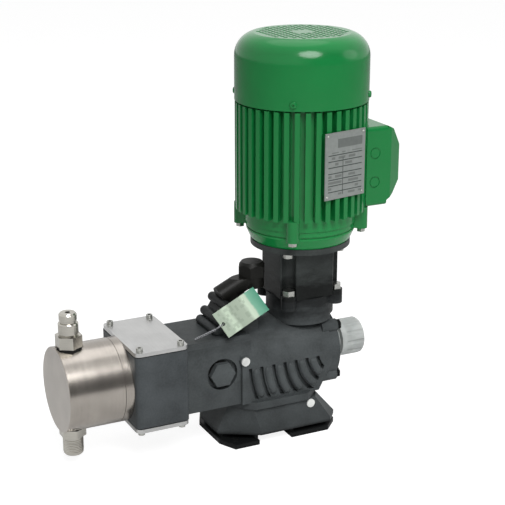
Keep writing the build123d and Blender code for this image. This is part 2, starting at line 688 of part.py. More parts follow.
def suction_valve_body():
    """Male union below the head, with a hexagon and a ball chamber."""
    low = PUMP_Z - SPOT_H
    body = post(low, PUMP_Z - VALVE_TIP, VALVE_BORE_R - 0.02, VALVE_X)
    body += hexagon(low - 10, low - 1.5, HEX_AF, VALVE_X, turn=30)
    body += post(low - 1.5, low, VALVE_BORE_R - 0.02, VALVE_X)
    body += turned([(0, 12), (8.8, 12), (10.1, 13.5), (10.1, low - 10), (0, low - 10)], VALVE_X)
    body -= post(11, PUMP_Z, PORT_R, VALVE_X)
    body -= post(low + 2, PUMP_Z, SEAT_R, VALVE_X)
    return body


def discharge_valve_body():
    """Union above the head: hexagon, plain collar, groove and bored end."""
    top = PUMP_Z + SPOT_H
    body = post(PUMP_Z + VALVE_TIP, top + 4, VALVE_BORE_R - 0.02, VALVE_X)
    body += hexagon(top + 2.5, top + 15, HEX_AF, VALVE_X, turn=30)
    body += turned([
        (0, top + 15), (9.0, top + 15), (9.0, top + 16.5), (10.2, top + 17), (10.2, top + 27),
        (9.6, top + 28), (8.2, top + 28.3), (8.2, top + 30.5), (9.0, top + 31),
        (9.0, top + 36.5), (7.6, top + 38.3), (0, top + 38.3)], VALVE_X)
    body -= post(PUMP_Z + VALVE_TIP - 1, top - 3.7, SEAT_R, VALVE_X)
    body -= post(PUMP_Z, top + 40, 2.6, VALVE_X)
    body -= post(PUMP_Z, top + 30, PORT_R, VALVE_X)
    return body


def valve_gaskets():
    low, top = PUMP_Z - SPOT_H, PUMP_Z + SPOT_H
    return [ring_z(low - 1.5, low, 12.6, VALVE_BORE_R, VALVE_X),
            ring_z(top, top + 2.5, 12.6, VALVE_BORE_R, VALVE_X)]


SUCTION_SEAT_Z = PUMP_Z - SPOT_H + 2
DISCHARGE_SEAT_Z = PUMP_Z + VALVE_TIP + 0.5
BALL_SIT = sqrt(BALL_R ** 2 - 4.0 ** 2) + 0.05


def valve_seat(z0):
    return ring_z(z0, z0 + SEAT_H, SEAT_R, 4.0, VALVE_X)


def valve_ball(z0):
    return Pos(VALVE_X, 0, z0 + SEAT_H + BALL_SIT) * Sphere(BALL_R)


def valve_cage(z0):
    """Guide tube over the seat, with a pierced stop plate above the ball."""
    z1 = z0 + SEAT_H
    body = ring_z(z1, z1 + 14, SEAT_R, BALL_R + 0.35, VALVE_X)
    body += ring_z(z1 + 14, z1 + 16, SEAT_R, 3, VALVE_X)
    return body


# ---- motor adapter ----------------------------------------------------------
def adapter():
    """Square bell with cut corners between the gear housing and the motor flange."""
    body = slab(-ADAPTER_HALF, ADAPTER_HALF, -ADAPTER_HALF, ADAPTER_HALF, JOINT_Z, FLANGE_Z - FLANGE_T + 1)
    body = chamfer(body.edges().filter_by(Axis.Z), ADAPTER_CHAMFER)
    body = Pos(MOTOR_X, 0, 0) * body
    body += post(FLANGE_Z - FLANGE_T, FLANGE_Z, FLANGE_R, MOTOR_X)
    for dx, dy in around(EAR_PITCH_R):
        body += post(JOINT_Z, JOINT_Z + 5, EAR_R, MOTOR_X + dx, dy)
    body -= post(JOINT_Z - 1, 198, ADAPTER_BORE_R, MOTOR_X)
    body -= post(190, FLANGE_Z + 1, 24, MOTOR_X)
    body -= post(FLANGE_Z - 3, FLANGE_Z + 1, 35, MOTOR_X)
    # corner channels that clear the joint bolts and the flange screws
    for dx, dy in around(EAR_PITCH_R):
        body -= post(JOINT_Z + 5, FLANGE_Z - FLANGE_T, CHANNEL_R, MOTOR_X + dx, dy)
        body -= post(JOINT_Z - 1, JOINT_Z + 6, 4, MOTOR_X + dx, dy)
    for dx, dy in around(FLANGE_BOLT_R):
        body -= post(FLANGE_Z - FLANGE_T - 1, FLANGE_Z + 1, 3.0, MOTOR_X + dx, dy)
    return body


def adapter_bolts():
    bolts = []
    for dx, dy in around(EAR_PITCH_R):
        x = MOTOR_X + dx
        bolt = hexagon(JOINT_Z + 5, JOINT_Z + 11, 12, x, dy)
        bolt += post(JOINT_Z - 10, JOINT_Z + 5, 4, x, dy)
        bolts.append(bolt)
    return bolts


def motor_flange_screws():
    return [socket_screw_z(FLANGE_Z - FLANGE_T, FLANGE_Z + 8, MOTOR_X + dx, dy, 3.0, up=-1) for dx, dy in around(FLANGE_BOLT_R)]


def coupling_sleeve():
    body = ring_z(152, 192, 17, MOTOR_SHAFT_R, MOTOR_X)
    for z in (160, 184):
        body -= Pos(MOTOR_X, 10, z) * Rot(90, 0, 0) * Cylinder(2.5, 16)
    return body


# ---- motor ------------------------------------------------------------------
def lug_offsets(radius):
    """Four tie-bolt places around the motor, from the first lug angle."""
    places = []
    for i in range(4):
        a = radians(LUG_ANGLE + 90 * i)
        places.append((radius * sin(a), -radius * cos(a)))
    return places


def end_shield():
    """Drive-end shield with its flange, spigot and bearing seat."""
    body = turned([
        (0, FLANGE_Z), (FLANGE_R - 1, FLANGE_Z), (FLANGE_R + 0.5, FLANGE_Z + 2), (57, 219), (57, 220.6),
        (56, 221), (56, 222), (57.5, 222.6), (57.5, SHIELD_TOP), (0, SHIELD_TOP)], MOTOR_X)
    body += post(FLANGE_Z - 2.5, FLANGE_Z, 35 - 0.02, MOTOR_X)
    for dx, dy in lug_offsets(64):
        arm = Pos(MOTOR_X + dx * 0.9, dy * 0.9, SHIELD_TOP - 4) * Rot(0, 0, degrees_of(dx, dy)) * Box(16, 13, 8)
        body += post(LUG_Z, SHIELD_TOP, 6.5, MOTOR_X + dx, dy) + arm
    body -= post(FLANGE_Z + 6, SHIELD_TOP + 1, 50, MOTOR_X)
    body += post(FLANGE_Z + 2, SEAT_Z + 11, 22, MOTOR_X)
    body -= post(SEAT_Z, SEAT_Z + 12, 17.5, MOTOR_X)
    body -= post(200, SEAT_Z + 12, 11, MOTOR_X)
    for dx, dy in around(FLANGE_BOLT_R):
        body -= post(FLANGE_Z - 1, FLANGE_Z + 8, 3, MOTOR_X + dx, dy)
    for dx, dy in lug_offsets(64):
        body -= post(LUG_Z - 1, SHIELD_TOP + 1, 2.5, MOTOR_X + dx, dy)
    return body


LUG_Z = SHIELD_TOP - 8.6


def motor_frame():
    """Finned aluminium frame: radial fins all round, pads for box and plate."""
    z0 = SHIELD_TOP
    body = post(z0, FIN_Z1 + 1.6, FRAME_R, MOTOR_X)
    fin = slab(FRAME_R - 2, FIN_R, -FIN_W / 2, FIN_W / 2, FIN_Z0, FIN_Z1)
    fins = [Pos(MOTOR_X, 0, 0) * Rot(0, 0, (i + 0.5) * 360 / FINS) * fin for i in range(FINS)]
    body += fins
    for dx, dy in lug_offsets(64):
        body += post(z0, z0 + 14, 6.5, MOTOR_X + dx, dy)
        arm = Pos(MOTOR_X + dx * 0.93, dy * 0.93, z0 + 7) * Rot(0, 0, degrees_of(dx, dy)) * Box(12, 13, 14)
        body += arm
    body += slab(MOTOR_X + 50, BOX_FLOOR_X, -PAD_Y, PAD_Y, PAD_Z0, PAD_Z1)
    half = PLATE_HALF - 4
    seat = slab(-half, half, -PLATE_Y, -FRAME_R + 2, PLATE_Z0 + 3, PLATE_Z1 - 3)
    body += Pos(MOTOR_X, 0, 0) * Rot(0, 0, NAMEPLATE_ANGLE) * seat
    body -= post(z0 - 1, FIN_Z1 + 3, FRAME_BORE_R, MOTOR_X)
    for dx, dy in lug_offsets(64):
        body -= post(z0 - 1, z0 + 10, 2.5, MOTOR_X + dx, dy)
    body -= slab(MOTOR_X + 50, BOX_FLOOR_X + 1, -12, 12, 272, 298)
    return body


def nameplate():
    plate = slab(-PLATE_HALF, PLATE_HALF, -PLATE_Y - 1, -PLATE_Y, PLATE_Z0, PLATE_Z1)
    return Pos(MOTOR_X, 0, 0) * Rot(0, 0, NAMEPLATE_ANGLE) * plate


def motor_tie_bolts():
    bolts = []
    for dx, dy in lug_offsets(64):
        x = MOTOR_X + dx
        bolts.append(hexagon(LUG_Z - 4, LUG_Z, 8, x, dy) + post(LUG_Z, SHIELD_TOP + 9, 2.5, x, dy))
    return bolts


def stator_core():
    return ring_z(STATOR_Z0, STATOR_Z1, FRAME_BORE_R, ROTOR_R + 0.4, MOTOR_X)


def stator_windings():
    pair = []
    for z0, z1 in ((STATOR_Z0 - 14, STATOR_Z0), (STATOR_Z1, STATOR_Z1 + 12)):
        ring = ring_z(z0, z1, 49, 33, MOTOR_X)
        pair.append(chamfer(ring.edges(), 3))
    return pair


def rotor_shaft():
    """Motor shaft with journals, rotor seat and fan end."""
    body = post(174, SEAT_Z + 11.5, MOTOR_SHAFT_R, MOTOR_X)
    body += post(SEAT_Z + 11.5, 352, 10, MOTOR_X)
    body += post(352, 392, MOTOR_SHAFT_R, MOTOR_X)
    return body


def rotor_core():
    return ring_z(STATOR_Z0, STATOR_Z1, ROTOR_R, 10, MOTOR_X)


def motor_bearings():
    return [ring_z(SEAT_Z, SEAT_Z + 11, 17.5, MOTOR_SHAFT_R + 0.02, MOTOR_X),
            ring_z(352.3, 363.3, 17.5, MOTOR_SHAFT_R + 0.02, MOTOR_X)]


def rear_shield():
    """Fan-end shield: dished plate with the upper bearing seat."""
    z0 = FIN_Z1 + 1.6
    body = ring_z(z0, z0 + 5, 63, 40, MOTOR_X) + ring_z(z0 - 6, z0, FRAME_BORE_R - 0.05, 44, MOTOR_X)
    body += ring_z(z0 + 1, z0 + 5, 42, 15, MOTOR_X)
    body += ring_z(350, 364.5, 22, 17.5, MOTOR_X) + ring_z(363.3, 364.5, 20, 9, MOTOR_X)
    body -= post(350, 363.3, 17.5, MOTOR_X)
    for dx, dy in lug_offsets(47):
        body += post(z0 - 6, z0 + 1, 4, MOTOR_X + dx, dy)
    return body


def cooling_fan():
    """Plastic fan: hub, back plate and seven straight blades."""
    body = ring_z(370, 386, 11, MOTOR_SHAFT_R, MOTOR_X) + ring_z(370, 372, 52, 10, MOTOR_X)
    for i in range(7):
        blade = slab(9, 60, -1, 1, 371, 388)
        body += Pos(MOTOR_X, 0, 0) * Rot(0, 0, i * 360 / 7) * blade
    return body


def fan_cover():
    """Deep-drawn cover with a round shoulder and a square-mesh grille."""
    straight = 399.0
    outer = Plane.XZ * make_face([
        Line((0, COVER_Z0), (COVER_R, COVER_Z0)),
        Line((COVER_R, COVER_Z0), (COVER_R, straight)),
        RadiusArc((COVER_R, straight), (GRILLE_R, COVER_Z1), -24),
        Line((GRILLE_R, COVER_Z1), (0, COVER_Z1)),
        Line((0, COVER_Z1), (0, COVER_Z0)),
    ])
    t = 1.6
    inner = Plane.XZ * make_face([
        Line((0, COVER_Z0 - 1), (COVER_R - t, COVER_Z0 - 1)),
        Line((COVER_R - t, COVER_Z0 - 1), (COVER_R - t, straight)),
        RadiusArc((COVER_R - t, straight), (GRILLE_R - 0.5, COVER_Z1 - t), -23),
        Line((GRILLE_R - 0.5, COVER_Z1 - t), (0, COVER_Z1 - t)),
        Line((0, COVER_Z1 - t), (0, COVER_Z0 - 1)),
    ])
    shell = revolve(outer, Axis.Z) - revolve(inner, Axis.Z)
    pitch, hole = 6.6, 4.4
    steps = range(-7, 8)
    spots = [(i * pitch, j * pitch) for i in steps for j in steps]
    spots = [(x, y) for x, y in spots if 12 < sqrt(x * x + y * y) < GRILLE_R - 4.5]
    mesh = [Pos(x, y, COVER_Z1) * Box(hole, hole, 6) for x, y in spots]
    shell -= mesh
    for i in range(4):
        a = radians(LUG_ANGLE + 90 * i)
        shell += Pos(61 * sin(a), -61 * cos(a), 361.1) * Rot(0, 0, LUG_ANGLE + 90 * i) * Box(10, 14, 3) & post(
            350, 430, COVER_R)
    return Pos(MOTOR_X, 0, 0) * shell


def terminal_box_base():
    """Saddle-backed box that straddles the fins and sits on the frame's pad."""
    body = slab(BOX_X0, BOX_X1, -BOX_Y, BOX_Y, BOX_Z0, BOX_Z1)
    body = fillet(body.edges().filter_by(Axis.X), 4)
    body -= post(BOX_Z0 - 1, BOX_Z1 + 1, FIN_R + 0.4, MOTOR_X)
    body -= slab(BOX_X0 - 1, BOX_FLOOR_X, -PAD_Y - 0.3, PAD_Y + 0.3, PAD_Z0 - 0.3, PAD_Z1 + 0.3)
    cavity = slab(BOX_X0 - 1, BOX_X1 + 1, -BOX_Y + 3, BOX_Y - 3, BOX_Z0 + 3.5, BOX_Z1 - 3.5)
    cavity -= post(BOX_Z0 - 1, BOX_Z1 + 1, FIN_R + 3, MOTOR_X)
    cavity -= slab(BOX_X0 - 2, BOX_FLOOR_X + 2.5, -PAD_Y - 3, PAD_Y + 3, PAD_Z0 - 3, PAD_Z1 + 3)
    body -= cavity
    body -= slab(BOX_FLOOR_X - 1, BOX_FLOOR_X + 4, -12, 12, 272, 298)
    for z in KNOCKOUT_Z:
        ring = cross(-BOX_Y - 1, -BOX_Y + 0.8, KNOCKOUT_R, KNOCKOUT_X, z)
        body -= ring - cross(-BOX_Y - 2, -BOX_Y + 1, KNOCKOUT_R - 0.9, KNOCKOUT_X, z)
    return body


def terminal_box_lid():
    """Lid with a large bevel all round a small outer face."""
    x0, x1 = BOX_X1, LID_X1
    body = side_prism([(x0, 248), (x0 + 9, 254), (x1, 266), (x1, 304), (x1 - 12, 323), (x0, 327)], -60, 60)
    plan = [(x0, -BOX_Y), (x0 + 4, -BOX_Y), (x1, -BOX_Y + 10), (x1, BOX_Y - 10), (x0 + 4, BOX_Y), (x0, BOX_Y)]
    body &= prism(plan, 240, 340)
    return body - slab(x0 - 1, x1 - 5, -BOX_Y + 12, BOX_Y - 12, 262, 308)


def terminal_block():
    x0 = BOX_FLOOR_X + 2.5
    body = slab(x0, x0 + 5, -18, 18, 299, 315) + slab(x0, x0 + 5, -18, 18, 268, 271.5)
    body += slab(x0 + 2, x0 + 5, -18, 18, 271, 300)
    for y in (-11, 0, 11):
        for z in (279, 293):
            body += rod(x0 + 4, x0 + 13, 2, y, z)
    return body


# ---- tag --------------------------------------------------------------------
def hang_tag():
    """Card leaning on the shoulder ribs, with a punched hole for its tie."""
    card = Box(TAG_L, TAG_W, 0.8) - Pos(-TAG_L / 2 + 4, 0, 0) * Cylinder(1.8, 4)
    return Plane(origin=TAG_AT, x_dir=TAG_X, z_dir=TAG_NORMAL) * card


TAG_L, TAG_W = 55.0, 29.0
TAG_AT = (-44.0, -30.1, 145.3)
TAG_X = (0.923, 0.176, 0.343)
TAG_NORMAL = (-0.057, -0.817, 0.574)


# ---- output -----------------------------------------------------------------
NODES = {
    "base": base,
    "base_screws": base_screws,
    "gear_housing": gear_housing,
    "filler_neck": filler_neck,
    "filler_cap": filler_cap,
    "oil_plug": oil_plug,
    "oil_plug_washer": oil_plug_washer,
    "white_plugs": white_plugs,
    "side_cover": side_cover,
    "side_cover_screws": side_cover_screws,
    "rear_cover": rear_cover,
    "rear_cover_bolts": rear_cover_bolts,
    "worm_shaft": worm_shaft,
    "worm_bearings": worm_bearings,
    "worm_oil_seal": worm_oil_seal,
    "worm_wheel": worm_wheel,
    "camshaft": camshaft,
    "camshaft_bearings": camshaft_bearings,
    "crosshead": crosshead,
    "push_rod": push_rod,
    "return_spring": return_spring,
    "seal_carrier": seal_carrier,
    "rod_seal": rod_seal,
    "stop_fork": stop_fork,
    "stroke_spindle": stroke_spindle,
    "scale_sleeve": scale_sleeve,
    "stroke_knob": stroke_knob,
    "lantern_body": lantern_body,
    "lantern_gaskets": lantern_gaskets,
    "lantern_cover_top": lantern_cover_top,
    "lantern_cover_bottom": lantern_cover_bottom,
    "lantern_plate_screws": lambda: lantern_screws(True) + lantern_screws(False),
    "lantern_joint_screws": lambda: lantern_neck_screws() + head_screws(),
    "backing_ring": backing_ring,
    "diaphragm": diaphragm,
    "pump_head": pump_head,
    "suction_valve_body": suction_valve_body,
    "discharge_valve_body": discharge_valve_body,
    "valve_gaskets": valve_gaskets,
    "valve_seats": lambda: [valve_seat(SUCTION_SEAT_Z), valve_seat(DISCHARGE_SEAT_Z)],
    "valve_cages": lambda: [valve_cage(SUCTION_SEAT_Z), valve_cage(DISCHARGE_SEAT_Z)],
    "suction_ball": lambda: valve_ball(SUCTION_SEAT_Z),
    "discharge_ball": lambda: valve_ball(DISCHARGE_SEAT_Z),
    "motor_adapter": adapter,
    "adapter_bolts": adapter_bolts,
    "coupling_sleeve": coupling_sleeve,
    "motor_end_shield": end_shield,
    "motor_frame": motor_frame,
    "motor_fasteners": lambda: motor_flange_screws() + motor_tie_bolts(),
    "stator": lambda: [stator_core()] + stator_windings(),
    "rotor": lambda: [rotor_shaft(), rotor_core()],
    "motor_bearings": motor_bearings,
    "motor_rear_shield": rear_shield,
    "cooling_fan": cooling_fan,
    "fan_cover": fan_cover,
    "terminal_box": terminal_box_base,
    "terminal_box_lid": terminal_box_lid,
    "terminal_block": terminal_block,
    "nameplate": nameplate,
    "hang_tag": hang_tag,
}


def main():
    os.makedirs("parts", exist_ok=True)
    for name, make in NODES.items():
        made = make()
        shape = Compound(children=made) if isinstance(made, list) else made
        export_step(shape, f"parts/{name}.step")


main()
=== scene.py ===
"""Metering pump with an upright finned motor: finishes, small fasteners and stage.

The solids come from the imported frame. This file gives every one of them its finish,
adds the screws, rivets and threads that are too small for the solids, and sets the
light and the camera. It is laid out as an add-on and is run as a script.
"""
import json
from math import cos, pi, radians, sin

import bpy
import numpy as np
from bpy.props import FloatProperty, FloatVectorProperty, PointerProperty
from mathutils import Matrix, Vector


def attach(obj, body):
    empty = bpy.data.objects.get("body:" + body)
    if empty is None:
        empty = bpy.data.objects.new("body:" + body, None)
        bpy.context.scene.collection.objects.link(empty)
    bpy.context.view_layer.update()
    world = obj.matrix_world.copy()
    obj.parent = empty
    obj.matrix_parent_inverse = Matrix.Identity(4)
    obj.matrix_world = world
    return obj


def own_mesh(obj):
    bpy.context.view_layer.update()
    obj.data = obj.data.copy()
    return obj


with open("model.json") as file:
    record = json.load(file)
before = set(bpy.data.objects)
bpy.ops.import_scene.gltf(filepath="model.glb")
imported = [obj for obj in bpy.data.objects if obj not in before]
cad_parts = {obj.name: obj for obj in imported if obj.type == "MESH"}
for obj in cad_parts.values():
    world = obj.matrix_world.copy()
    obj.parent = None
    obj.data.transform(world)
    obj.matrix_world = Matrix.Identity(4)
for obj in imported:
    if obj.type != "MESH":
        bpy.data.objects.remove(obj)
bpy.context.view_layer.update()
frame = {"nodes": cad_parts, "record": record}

bl_info = {
    "name": "Metering Pump Dressing",
    "version": (1, 0, 0),
    "blender": (4, 5, 0),
    "location": "3D View > Sidebar > Pump",
    "description": "Finishes, small fasteners, threads and stage of a motor-driven metering pump",
    "category": "Object",
}

MM = 0.001
PUMP_Z = 84 * MM                 # pump axis over the floor
MOTOR_X = 40 * MM                # motor axis
VALVE_X = -219 * MM              # axis of both valve unions
FIN_ROOT, FIN_TIP = 59 * MM, 68.5 * MM
PLATE_TURN = radians(11.0)       # nameplate, turned round the motor from the near side
PLATE_FACE = 69.6 * MM           # its outer face, from the motor axis
PLATE_MID_Z = 299 * MM
PLATE_ROW = 6.2                  # mm between its ruled lines
RIVET_PLACES = [(across * MM, up * MM) for across in (-23, 23) for up in (-31, 31)]
SPIGOT_R = 10.05 * MM            # root of the suction union's thread
SPIGOT_Z = (13.8 * MM, 31 * MM)  # its lower and upper end
THREAD_DEPTH = 0.45 * MM
BODY_FACE = 42 * MM              # near side of the gear housing, from the middle plane
RIB_CENTRE = (65 * MM, 90 * MM)  # centre of the curved ribs, seen from the side
RIB_MIDDLES = (31.5, 44.5, 57.5, 70.5, 84.0, 97.5)    # mm from that centre
CROWN_HALF = 4.1 * MM            # half width of a rib's crown
CROWN_SINK = 0.5 * MM            # depth of its foot in the casting
COVER_SCREWS_Z, COVER_SCREWS_R = 361 * MM, 68.9 * MM
COVER_SCREWS_TURN = -35          # degrees, first screw, round the motor from the near side
LID_FACE = 138 * MM
LID_SCREW_PLACES = [(y * MM, z * MM) for y in (-29, 29) for z in (270.5, 299.5)]
TAG_MID = Vector((-44.0, -30.1, 145.3)) * MM
TAG_X = Vector((0.923, 0.176, 0.343)).normalized()          # along the tag
TAG_FACE = Vector((-0.057, -0.817, 0.574)).normalized()     # out of its face
TAG_Y = TAG_FACE.cross(TAG_X).normalized()
TAG_LONG = 55 * MM
TAG_BANDS = ((0.0, 0.92), (0.15, 0.88), (0.24, 1.3), (0.3, 1.25), (0.36, 0.8), (0.6, 0.9),
             (0.68, 1.42), (0.75, 1.3))      # share of its length, shade
TIE_EDGE, TIE_R = 28.6 * MM, 5.1 * MM        # the wire ring's centre on the tag, radius
TIE_TWIST = 5 * MM                           # pitch of the twisted tail
TAIL_END = (-96 * MM, -31 * MM, 124.5 * MM)
FLOOR_HALF = 6.0
SWEEP_GLOW, SWEEP_SHARE = 1.35, 0.65         # light that the eye sees added to the paper
WORLD_LIGHT = 0.26
DIM_SIDE = Vector((0.3, -0.93, 0.2)).normalized()
DIM_GREY, DIM_CORE, DIM_EDGE = 0.16, 24, 52  # dim patch: level, inner and outer degrees
LAMP_AIM = Vector((-0.02, 0, 0.2))
LAMPS = (       # name, place in metres, width in metres, watts, spread in degrees
    ("key_softbox", (-0.3, -1.7, 2.1), 1.4, 25.0, 120),
    ("fill_softbox", (1.9, -0.9, 1.1), 1.2, 3.0, 140),
    ("top_softbox", (0.2, 0.6, 2.2), 1.6, 4.5, 140),
)
CAMERA_PLACE = (-0.5994, -1.1852, 0.6231)
CAMERA_TURN = (radians(72.116), 0, radians(-26.21))
CAMERA_LENS = 95.08              # mm


# ---- colours and the node helper -------------------------------------------
def linear(hex_code):
    """sRGB hex to the linear colour that a shader takes."""
    parts = [int(hex_code[i:i + 2], 16) / 255 for i in (0, 2, 4)]
    flat = [c / 12.92 if c <= 0.04045 else ((c + 0.055) / 1.055) ** 2.4 for c in parts]
    return (*flat, 1.0)


def add(tree, kind, links=None, values=None, **settings):
    """One node: settings are its attributes, values its socket numbers, links its inputs."""
    node = tree.nodes.new(kind)
    for key, value in settings.items():
        setattr(node, key, value)
    for key, value in (values or {}).items():
        node.inputs[key].default_value = value
    for key, socket in (links or {}).items():
        tree.links.new(socket, node.inputs[key])
    return node


def new_material(name, **shader):
    """Material with a Principled shader; shader holds its constant sockets."""
    mat = bpy.data.materials.new(name)
    mat.use_nodes = True
    tree = mat.node_tree
    tree.nodes.clear()
    values = {key.replace("_", " "): value for key, value in shader.items()}
    bsdf = add(tree, "ShaderNodeBsdfPrincipled", values=values)
    add(tree, "ShaderNodeOutputMaterial", {"Surface": bsdf.outputs[0]})
    return mat, tree, bsdf


def place(tree):
    """Place on the object in metres, and its three parts."""
    where = add(tree, "ShaderNodeTexCoord").outputs["Object"]
    parts = add(tree, "ShaderNodeSeparateXYZ", {0: where}).outputs
    return where, parts


def math_node(tree, operation, *terms):
    """Result of one sum on sockets and numbers."""
    node = add(tree, "ShaderNodeMath", operation=operation)
    for i, term in enumerate(terms):
        if isinstance(term, (int, float)):
            node.inputs[i].default_value = term
        else:
            tree.links.new(term, node.inputs[i])
    return node.outputs[0]


def away_from(tree, a, b, centre_a, centre_b):
    """Distance from an axis: the root of the sum of two squared offsets."""
    da = math_node(tree, "SUBTRACT", a, centre_a)
    db = math_node(tree, "SUBTRACT", b, centre_b)
    square = math_node(tree, "ADD", math_node(tree, "MULTIPLY", da, da),
                       math_node(tree, "MULTIPLY", db, db))
    return math_node(tree, "SQRT", square)


def tint(colour, factor):
    """A colour made lighter or darker, as a shader takes it."""
    return (*(min(1.0, part * factor) for part in tuple(colour)[:3]), 1.0)


def blended(tree, a, share_a, b, share_b):
    """Two patterns added, each at its share."""
    return math_node(tree, "ADD", math_node(tree, "MULTIPLY", a, share_a),
                     math_node(tree, "MULTIPLY", b, share_b))


def ramp(tree, fac, *stops):
    """Colour ramp from (position, colour) stops."""
    node = add(tree, "ShaderNodeValToRGB", {0: fac})
    while len(node.color_ramp.elements) < len(stops):
        node.color_ramp.elements.new(0.5)
    for element, (position, colour) in zip(node.color_ramp.elements, stops):
        element.position, element.color = position, colour
    return node.outputs[0]


def noise(tree, vector, size_mm, detail=3.0, rough=0.5):
    """Cloudy pattern whose grains are about size_mm across."""
    return add(tree, "ShaderNodeTexNoise", {"Vector": vector},
               {"Scale": 1 / (size_mm * MM), "Detail": detail, "Roughness": rough}).outputs[0]


def bump(tree, bsdf, height, depth_mm, strength):
    """Relief of the surface: a height pattern at a depth, softened by strength."""
    values = {"Strength": strength, "Distance": depth_mm * MM}
    node = add(tree, "ShaderNodeBump", {"Height": height}, values)
    tree.links.new(node.outputs[0], bsdf.inputs["Normal"])


# ---- finishes ---------------------------------------------------------------
MIX_A, MIX_B, MIX_RESULT = 6, 7, 2      # colour sockets of a Mix node
PAINTED_SHADE_TOP = 220.0                       # mm, height at which the painted shade's scale ends
PAINTED_SHADE_WANDER = 45 * MM                  # how far its edge may wander, times the noise


def shaded_by_height(tree, colour, parts, where, reach_mm, stops):
    """A colour darkened by height with painted shade: stops are (height mm, share of
    light left). Above reach_mm the edge wanders by a centimetre in level streaks."""
    level = {"Scale": (0.3, 0.3, 1.0)}
    streaks = add(tree, "ShaderNodeMapping", {"Vector": where}, level).outputs[0]
    wander = math_node(tree, "SUBTRACT", noise(tree, streaks, 7, 4, 0.62), 0.5)
    free = add(tree, "ShaderNodeMapRange", {"Value": parts[2]},
               {"From Min": reach_mm * MM, "From Max": (reach_mm + 20) * MM,
                "To Max": PAINTED_SHADE_WANDER}).outputs[0]
    height = math_node(tree, "ADD", parts[2], math_node(tree, "MULTIPLY", wander, free))
    share = ramp(tree, math_node(tree, "DIVIDE", height, PAINTED_SHADE_TOP * MM),
                 *[(up / PAINTED_SHADE_TOP, (left, left, left, 1.0)) for up, left in stops])
    # painted shade: the colour is multiplied by the share of light left at its height
    mixed = add(tree, "ShaderNodeMix", data_type="RGBA", blend_type="MULTIPLY")
    mixed.inputs["Factor"].default_value = 1.0
    tree.links.new(colour, mixed.inputs[MIX_A])
    tree.links.new(share, mixed.inputs[MIX_B])
    return mixed.outputs[MIX_RESULT]


def cast_enamel(name, colour, rough, painted_shade=(), reach_mm=90):
    """Enamel sprayed over sand-cast iron: a dull sheen that breaks up on 2 mm grains,
    with a slow change of shade over a few centimetres, and painted shade by height where stops are
    given."""
    mat, tree, bsdf = new_material(name, Roughness=rough, Specular_IOR_Level=0.11)
    where, parts = place(tree)
    slow = noise(tree, where, 34, 2)
    grain = noise(tree, where, 2.2, 4, 0.6)
    shade = blended(tree, slow, 0.7, grain, 0.3)
    paint = ramp(tree, shade, (0.3, tint(colour, 0.66)), (0.5, tint(colour, 1.0)),
                 (0.72, tint(colour, 1.32)))
    # painted shade by height, where stops are given
    if painted_shade:
        paint = shaded_by_height(tree, paint, parts, where, reach_mm, painted_shade)
    tree.links.new(paint, bsdf.inputs["Base Color"])
    bump(tree, bsdf, grain, 0.35, 0.5)
    return mat


def gloss_enamel(name, colour):
    """Stoved gloss enamel on a die-cast motor: bright narrow highlights with a faint
    3 mm orange peel; painted light makes it a little brighter down between the fins, where shade
    falls, and it is lighter again at the fin tips."""
    mat, tree, bsdf = new_material(name, Roughness=0.17, Specular_IOR_Level=0.3)
    where, parts = place(tree)
    out = away_from(tree, parts[0], parts[1], MOTOR_X, 0.0)
    fins = {"From Min": FIN_ROOT, "From Max": FIN_TIP}
    depth = add(tree, "ShaderNodeMapRange", {"Value": out}, fins).outputs[0]
    slow = noise(tree, where, 40, 2)
    # painted light: brighter at the fin roots against the shade in the grooves, lighter at the tips
    shade = blended(tree, depth, 0.7, slow, 0.3)
    paint = ramp(tree, shade, (0.1, tint(colour, 1.36)), (0.72, tint(colour, 1.0)),
                 (1.0, tint(colour, 1.2)))
    tree.links.new(paint, bsdf.inputs["Base Color"])
    bump(tree, bsdf, noise(tree, where, 3.0, 2), 0.05, 0.35)
    return mat


def lathe_steel(name, colour, along, rough=0.24):
    """Stainless bar turned and polished: rings of very faint feed marks, drawn 1.3 mm
    apart so that they show, on the face as on the rim. along is 0 for an X axis, 2 for Z."""
    mat, tree, bsdf = new_material(name, Metallic=1.0)
    where, parts = place(tree)
    if along == 0:
        out = away_from(tree, parts[1], parts[2], 0.0, PUMP_Z)
    else:
        out = away_from(tree, parts[0], parts[1], VALVE_X, 0.0)
    rings = add(tree, "ShaderNodeCombineXYZ", {0: parts[along], 1: out}).outputs[0]
    feed = noise(tree, rings, 1.3, 2, 0.6)
    slow = noise(tree, where, 22, 2)
    shade = blended(tree, feed, 0.35, slow, 0.65)
    metal = ramp(tree, shade, (0.3, tint(colour, 0.84)), (0.7, tint(colour, 1.1)))
    tree.links.new(metal, bsdf.inputs["Base Color"])
    gloss = add(tree, "ShaderNodeMapRange", {"Value": feed},
                {"From Min": 0.3, "From Max": 0.7,
                 "To Min": rough - 0.02, "To Max": rough + 0.03}).outputs[0]
    tree.links.new(gloss, bsdf.inputs["Roughness"])
    bump(tree, bsdf, feed, 0.01, 0.08)
    return mat


def rolled_plate(name, colour):
    """Cold-rolled stainless plate: a satin sheet with straight grain drawn 0.8 mm wide."""
    mat, tree, bsdf = new_material(name, Metallic=1.0, Roughness=0.38)
    where, _ = place(tree)
    along_y = {"Scale": (1.0, 0.04, 1.0)}
    stretched = add(tree, "ShaderNodeMapping", {"Vector": where}, along_y).outputs[0]
    grain = noise(tree, stretched, 0.8, 2, 0.6)
    slow = noise(tree, where, 26, 3)
    shade = blended(tree, grain, 0.4, slow, 0.6)
    metal = ramp(tree, shade, (0.3, tint(colour, 0.84)), (0.72, tint(colour, 1.08)))
    tree.links.new(metal, bsdf.inputs["Base Color"])
    bump(tree, bsdf, grain, 0.02, 0.3)
    return mat


